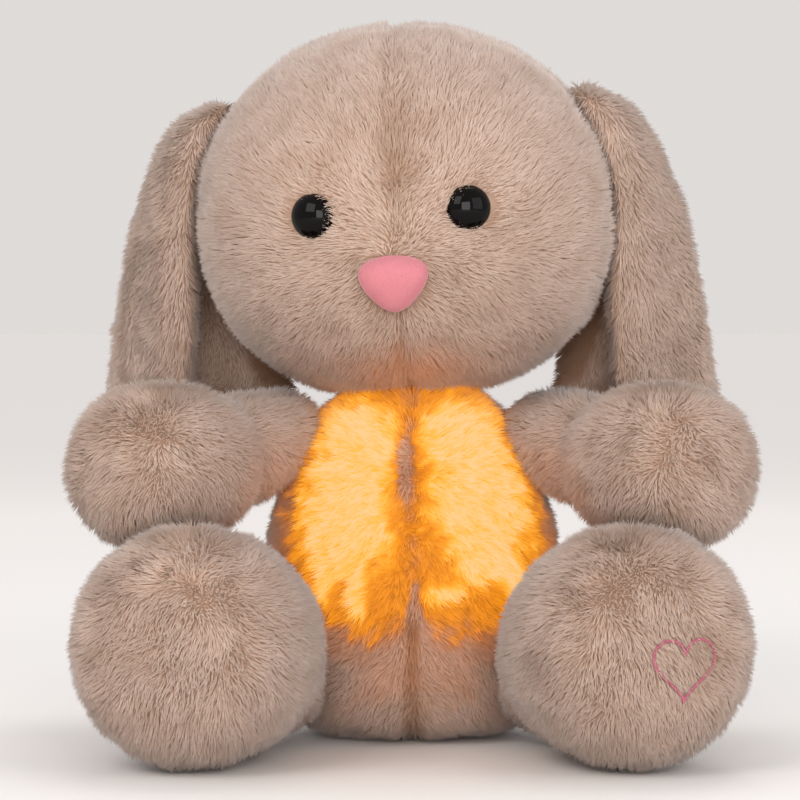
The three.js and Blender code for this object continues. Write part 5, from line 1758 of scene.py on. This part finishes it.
@dataclass
class Heart:
    """The outline heart stitched on the toy's left sole, in short slanted stitches."""

    half_width: float = 13.0
    side: float = 4.0
    up: float = -4.0
    rise: float = 18.0
    pivot: tuple = (55.0, -34.0, 30.0)
    splay: float = 21.3
    spacing: float = 0.5
    stitch: tuple = (1.7, 0.45, 0.35)
    sunk: float = 0.9
    steps: int = 90

    def outline(self, leg: bpy.types.Object) -> tuple[np.ndarray, np.ndarray]:
        """Lay the heart's line on the sole.

        Args:
            leg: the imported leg.

        Returns:
            The line's points and the sole's outward direction at each, in metres.
        """
        form = bmesh.new()
        form.from_mesh(leg.data)
        tree = BVHTree.FromBMesh(form)
        place = Matrix.Translation(Vector(self.pivot) * MM) @ Matrix.Rotation(radians(self.splay), 4, "Z")
        inward = (place.to_3x3() @ Vector((0, 1, 0))).normalized()
        line, out = [], []
        for angle in np.linspace(0, 2 * pi, self.steps, endpoint=False):
            size = self.half_width / 16
            x = self.side + self.half_width * sin(angle) ** 3
            wave = 13 * cos(angle) - 5 * cos(2 * angle) - 2 * cos(3 * angle) - cos(4 * angle)
            z = self.up + size * wave
            start = place @ (Vector((x, -200, self.rise + z)) * MM)
            hit, normal, _, _ = tree.ray_cast(start, inward)
            if hit is not None:
                line.append(hit + inward * self.sunk * MM)
                out.append(normal)
        form.free()
        out = np.array(out)
        for _ in range(12):
            out = unit(out + np.roll(out, 1, 0) + np.roll(out, -1, 0))
        return np.array(line), out

    def build(self, leg: bpy.types.Object, shop: Shop) -> bpy.types.Object:
        """Stitch the heart.

        Args:
            leg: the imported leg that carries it.
            shop: the finishes.

        Returns:
            The row of stitches.
        """
        line, out = self.outline(leg)
        ahead = unit(np.roll(line, -1, 0) - np.roll(line, 1, 0))
        across = unit(np.cross(ahead, out) + ahead * 0.7)
        mesh = bpy.data.meshes.new("heart_stitches")
        count = len(line)
        edges = [(k, (k + 1) % count) for k in range(count)]
        mesh.from_pydata([tuple(p) for p in line], edges, [])
        attribute(mesh, "out", out)
        attribute(mesh, "across", across)
        stitches = new_object("heart_stitches", mesh)
        thread = self.thread()
        grown(
            stitches,
            bpy.data.node_groups["row"],
            {"Piece": thread, "Spacing": self.spacing * MM, "Finish": shop.by_slot["embroidery"]},
        )
        bpy.data.objects.remove(thread)
        stitches.data.shade_smooth()
        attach(stitches, "leg_left")
        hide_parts("foot_heart")
        log.info("heart: %s faces", len(stitches.data.polygons))
        return stitches

    def thread(self) -> bpy.types.Object:
        """Make one stitch.

        Returns:
            A short arched thread of few faces.
        """
        length, wide, high = self.stitch
        rings = []
        for share, fat in ((-0.5, 0.35), (-0.3, 0.9), (0.0, 1.0), (0.3, 0.9), (0.5, 0.35)):
            angle = np.linspace(0, 2 * pi, 6, endpoint=False)
            arch = high * (1 - (2 * share) ** 2)
            radius = wide / 2 * fat
            rings.append(
                np.column_stack(
                    [np.full(6, share * length), radius * np.cos(angle), radius * np.sin(angle) + arch]
                )
            )
        return new_object("one_stitch", loft("one_stitch", np.array(rings) * MM))


@dataclass
class BackZip:
    """The zip in the back seam: two woven tapes and a row of moulded teeth."""

    torso: Torso
    low: float = 40.0
    high: float = 134.0
    tape: tuple = (2.8, 9.0)
    depth: float = 1.9
    thickness: float = 0.8
    pitch: float = 1.15
    tooth: tuple = (4.6, 0.8, 1.5)

    def line(self, steps: int) -> tuple[np.ndarray, np.ndarray]:
        """Give the middle of the zip.

        Args:
            steps: how many points.

        Returns:
            The points and their outward directions, in metres.
        """
        z = np.linspace(self.low, self.high, steps)
        y = self.torso.back(z, -self.depth)
        out = unit(np.stack([np.zeros(steps), y - self.torso.back_y, z - self.torso.back_z], axis=1))
        return np.stack([np.zeros(steps), y, z], axis=1) * MM, out

    def build(self, shop: Shop) -> None:
        """Make the tapes and the teeth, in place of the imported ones.

        Args:
            shop: the finishes.
        """
        middle, out = self.line(72)
        for side in Side:
            inner, outer = self.tape
            columns = np.linspace(inner, outer, 6) * side.value * MM
            points = np.concatenate([middle + (x, 0, 0) - out * (abs(x) ** 2 * 3.0) for x in columns])
            count = len(middle)
            faces = [
                (c * count + k, c * count + k + 1, (c + 1) * count + k + 1, (c + 1) * count + k)
                for c in range(len(columns) - 1)
                for k in range(count - 1)
            ]
            if side is Side.LEFT:
                faces = [tuple(reversed(face)) for face in faces]
            mesh = bpy.data.meshes.new(f"zip_weave_{side.word}")
            mesh.from_pydata([tuple(p) for p in points], [], faces)
            tape = new_object(f"zip_weave_{side.word}", mesh)
            wall = tape.modifiers.new("wall", "SOLIDIFY")
            wall.thickness = self.thickness * MM
            wall.offset = 0
            baked(tape)
            tape.data.materials.append(shop.tape)
            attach(tape, "torso")
            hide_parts(f"zip_tape_{side.word}")
        mesh = bpy.data.meshes.new("zip_row")
        mesh.from_pydata([tuple(p) for p in middle], [(k, k + 1) for k in range(len(middle) - 1)], [])
        attribute(mesh, "out", out)
        attribute(mesh, "across", np.tile((1.0, 0.0, 0.0), (len(middle), 1)))
        row = new_object("zip_row", mesh)
        tooth = self.one_tooth()
        grown(
            row,
            bpy.data.node_groups["row"],
            {"Piece": tooth, "Spacing": self.pitch * MM, "Finish": shop.by_slot["zip_teeth"]},
        )
        bpy.data.objects.remove(tooth)
        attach(row, "torso")
        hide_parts("zip_teeth")
        log.info("zip: %s faces in the teeth", len(row.data.polygons))

    def one_tooth(self) -> bpy.types.Object:
        """Make one tooth.

        Returns:
            A small rounded bar across the seam.
        """
        form = bmesh.new()
        bmesh.ops.create_cube(form, size=1.0)
        bmesh.ops.scale(form, vec=Vector(self.tooth) * MM, verts=form.verts)
        bmesh.ops.bevel(
            form, geom=form.edges[:], offset=0.2 * MM, segments=1, affect="EDGES", profile=0.5
        )
        mesh = bpy.data.meshes.new("one_tooth")
        form.to_mesh(mesh)
        form.free()
        return new_object("one_tooth", mesh)


@dataclass
class Inside:
    """What the toy holds inside: its wadding, its neck pad, its sleeve and the works."""

    nodes: dict
    shop: Shop

    def soft(
        self,
        node: str,
        name: str,
        material: bpy.types.Material,
        slot: str,
        voxel: float,
        slack: float,
    ) -> None:
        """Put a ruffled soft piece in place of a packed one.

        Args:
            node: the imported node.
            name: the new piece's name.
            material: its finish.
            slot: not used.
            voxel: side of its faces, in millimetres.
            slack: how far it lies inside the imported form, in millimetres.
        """
        piece = copy_of(self.nodes[node], name)
        remeshed(piece, voxel * MM, 2)
        mesh = piece.data
        points, out = coords(mesh), normals(mesh)
        x, y, z = (points / MM).T
        wave = np.sin(x * 0.55 + np.sin(z * 0.4)) * np.sin(z * 0.5 + np.sin(y * 0.6)) * np.cos(y * 0.45)
        move_to(mesh, points - out * ((slack * (1 + 0.6 * wave)) * MM)[:, None])
        mesh.materials.append(material)
        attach(piece, self.body_of(node))
        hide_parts(node)

    def body_of(self, node: str) -> str:
        """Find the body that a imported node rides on."""
        return self.nodes[node].parent.name.split(":")[-1]

    def sleeve(self) -> None:
        """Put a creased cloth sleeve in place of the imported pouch."""
        piece = copy_of(self.nodes["module_pouch"], "module_sleeve")
        form = bmesh.new()
        form.from_mesh(piece.data)
        for _ in range(4):
            long_edges = [edge for edge in form.edges if edge.calc_length() > 5 * MM]
            bmesh.ops.subdivide_edges(form, edges=long_edges, cuts=1)
            bmesh.ops.triangulate(form, faces=form.faces)
        form.to_mesh(piece.data)
        form.free()
        mesh = piece.data
        points = coords(mesh)
        x, y, z = (points / MM).T
        wave = np.sin(x * 0.9) * np.cos(z * 0.35 + x * 0.2) + np.cos(y * 0.7 + z * 0.3)
        middle = points.mean(axis=0)
        way = unit((points - middle) * (1, 1, 0))
        move_to(mesh, points + way * (0.12 * wave * MM)[:, None])
        mesh.materials.append(self.shop.sleeve)
        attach(piece, self.body_of("module_pouch"))
        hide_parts("module_pouch")

    def dress(self, record: dict) -> None:
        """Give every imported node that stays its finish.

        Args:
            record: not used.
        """
        for name, node in self.nodes.items():
            if node.hide_render:
                continue
            slot = node.data.materials[0].name if node.data.materials else "shell"
            material = self.shop.by_slot.get(slot.split(".")[0])
            if material is None:
                log.info("%s keeps no finish: %s", name, slot)
                continue
            for index in range(len(node.data.materials)):
                node.data.materials[index] = material

    def build(self, record: dict) -> None:
        """Make the soft pieces and dress the works.

        Args:
            record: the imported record.
        """
        self.soft("torso_filling", "torso_wadding", self.shop.wadding, "filling", 2.5, 0.8)
        self.soft("head_filling", "head_wadding", self.shop.wadding, "filling", 3.0, 0.8)
        self.soft("neck_cushion", "neck_pad", self.shop.backing, "fur", 1.2, 0.2)
        self.sleeve()
        self.dress(record)
        log.info("inside: wadding, neck pad, sleeve and works dressed")


@dataclass
class Studio:
    """The camera, the lamps and the pale ground."""

    eye: tuple = (0.0, -1.2998, 0.1727)
    look: tuple = (0.0, 0.0, 0.150)
    lens: float = 138.7
    sensor: float = 36.0
    far_clip: float = 50.0
    shift: tuple = (-0.015, -0.029)
    ground: str = "F1ECE7"
    ground_reach: float = 60.0
    ground_sides: int = 96
    # Distances between which the ground turns evenly pale, and the light that it then gives
    ground_fade: tuple = (0.4, 1.5)
    distance_light: tuple = (0.235, 0.215, 0.195)
    # Colour of the room as it is seen, and the colour and strength of its light
    room: tuple = (0.74, 0.71, 0.69)
    sky: tuple = (0.93, 0.95, 1.0)
    sky_strength: float = 0.62
    # Name, place, side, watts and colour of each lamp, and the point that all of them face
    lamps: tuple = (
        ("key", (-0.8, -1.2, 1.0), 0.9, 9.0, (1.0, 0.97, 0.94)),
        ("front", (0.15, -1.9, 0.38), 1.0, 20.0, (1.0, 0.98, 0.96)),
        ("fill", (1.1, -1.0, 0.6), 1.0, 5.0, (1.0, 1.0, 1.0)),
        ("top", (0.1, 0.5, 1.3), 0.9, 6.0, (1.0, 1.0, 1.0)),
    )
    faced: tuple = (0.0, -0.03, 0.15)

    def camera(self) -> None:
        """Set the camera at the height and side of the picture."""
        data = bpy.data.cameras.new("camera")
        data.lens = self.lens
        data.sensor_width = self.sensor
        data.shift_x, data.shift_y = self.shift
        data.clip_end = self.far_clip
        camera = bpy.data.objects.new("camera", data)
        bpy.context.scene.collection.objects.link(camera)
        camera.location = self.eye
        way = Vector(self.look) - Vector(self.eye)
        camera.rotation_euler = way.to_track_quat("-Z", "Y").to_euler()
        bpy.context.scene.camera = camera

    def lamp(self, name: str, place: tuple, size: float, power: float, colour: tuple) -> None:
        """Hang a soft lamp that faces the toy.

        Args:
            name: its name.
            place: where it hangs, in metres.
            size: its side.
            power: its watts.
            colour: its light.
        """
        data = bpy.data.lights.new(name, "AREA")
        data.shape = "SQUARE"
        data.size = size
        data.energy = power
        data.color = colour
        lamp = bpy.data.objects.new(name, data)
        bpy.context.scene.collection.objects.link(lamp)
        lamp.location = place
        way = Vector(self.faced) - Vector(place)
        lamp.rotation_euler = way.to_track_quat("-Z", "Y").to_euler()

    def floor(self) -> None:
        """Lay a wide pale ground, open on all sides and evenly pale in the distance."""
        angles = np.linspace(0, 2 * pi, self.ground_sides, endpoint=False)
        circle = np.column_stack([np.cos(angles), np.sin(angles), np.zeros(len(angles))])
        points = circle * self.ground_reach
        mesh = mesh_from("ground", points, [tuple(range(len(points)))])
        ground = new_object("ground", mesh)
        material, graph, shader = new_material("ground_paper")
        place = graph.add("ShaderNodeTexCoord").outputs["Object"]
        away = graph.add("ShaderNodeVectorMath", {0: place}, operation="LENGTH").outputs["Value"]
        far = graph.spread(away, *self.ground_fade, 0.0, 1.0)
        shader.inputs["Base Color"].default_value = linear(self.ground)
        graph.feed(
            shader.inputs["Emission Color"],
            graph.blend(far, (0.0, 0.0, 0.0, 1.0), (*self.distance_light, 1.0)),
        )
        shader.inputs["Emission Strength"].default_value = 1.0
        shader.inputs["Roughness"].default_value = 0.9
        shader.inputs["Specular IOR Level"].default_value = 0.1
        mesh.materials.append(material)

    def world(self) -> None:
        """Fill the room with an even, slightly cool light, and show it plain and pale."""
        world = bpy.data.worlds.new("room")
        world.use_nodes = True
        sky = world.node_tree.nodes["Background"]
        sky.inputs["Color"].default_value = (*self.sky, 1.0)
        sky.inputs["Strength"].default_value = self.sky_strength
        graph = Graph(world.node_tree)
        pale = graph.add("ShaderNodeBackground", {"Color": (*self.room, 1.0), "Strength": 1.0})
        path = graph.add("ShaderNodeLightPath").outputs
        seen = graph.maths("MAXIMUM", path["Is Camera Ray"], path["Is Glossy Ray"])
        seen = graph.maths("MAXIMUM", seen, path["Is Transmission Ray"])
        both = graph.add("ShaderNodeMixShader", {0: seen, 1: sky.outputs[0], 2: pale.outputs[0]})
        graph.feed(world.node_tree.nodes["World Output"].inputs["Surface"], both.outputs[0])
        bpy.context.scene.world = world

    def build(self) -> None:
        """Set up everything around the toy."""
        self.camera()
        self.floor()
        self.world()
        for lamp in self.lamps:
            self.lamp(*lamp)
        bpy.context.scene.view_settings.view_transform = "Standard"
        log.info("studio: camera, four lamps, ground")


def main() -> None:
    """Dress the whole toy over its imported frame."""
    logging.basicConfig(level=logging.INFO, format="%(message)s")
    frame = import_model()
    nodes = frame["nodes"]
    shop = Shop()
    Studio().build()
    pile_tree()
    row_tree()
    plush, thick = Pile(), Pile(length=6.0, lean=0.45, density=2.0)
    short = Pile(length=5.8, lean=0.7, density=1.7, width=0.46)
    head = Head("head", "head_skin", "head", plush, 100)
    head.build(nodes, shop)
    torso = Torso("torso", "torso_skin", "torso", plush, 200)
    body_cloth = torso.build(nodes, shop)[0]
    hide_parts("belly_pad")
    long = Pile(length=9.0, stand=0.9, lean=0.4)
    Tail("tail", "tail", "torso", long, 300, inset=4.0, voxel=2.0).build(nodes, shop)
    for side in Side:
        word = side.word
        Ear(
            f"ear_{word}", f"ear_{word}", f"ear_{word}", short, 400 + side.value,
            inset=2.6, voxel=2.2, side=side, head=head,
        ).build(nodes, shop)
        Limb(
            f"arm_{word}", f"arm_{word}", f"arm_{word}", thick, 500 + side.value,
            side=side, source="arm_right", origin=(95.0, -60.0, 230.0),
        ).build(nodes, shop)
        Limb(
            f"leg_{word}", f"leg_{word}", f"leg_{word}", thick, 600 + side.value,
            side=side, source="leg_right", origin=(80.0, -120.0, 170.0),
            pivot=(55.0, -34.0, 30.0), way=(0.363, -0.932, 0.1), waist=(26.0, 6.0, 9.0),
        ).build(nodes, shop)
        across, up = head.eye
        FaceButton(f"eye_{word}", head.face(side.value * across, up), "eye_gloss", 9.0, 9.0).build(shop)
    FaceButton(
        "nose", head.face(*head.nose), "nose_flock", 13.5, 11.5,
        rise=9.0, wider=0.3, flatter=0.1, fullness=2.6, stem_radius=3.0,
    ).build(shop)
    Heart().build(nodes["leg_left"], shop)
    BackZip(torso).build(shop)
    Inside(nodes, shop).build(frame["record"])
    log.info("sizes written")


if __name__ == "__main__":
    main()
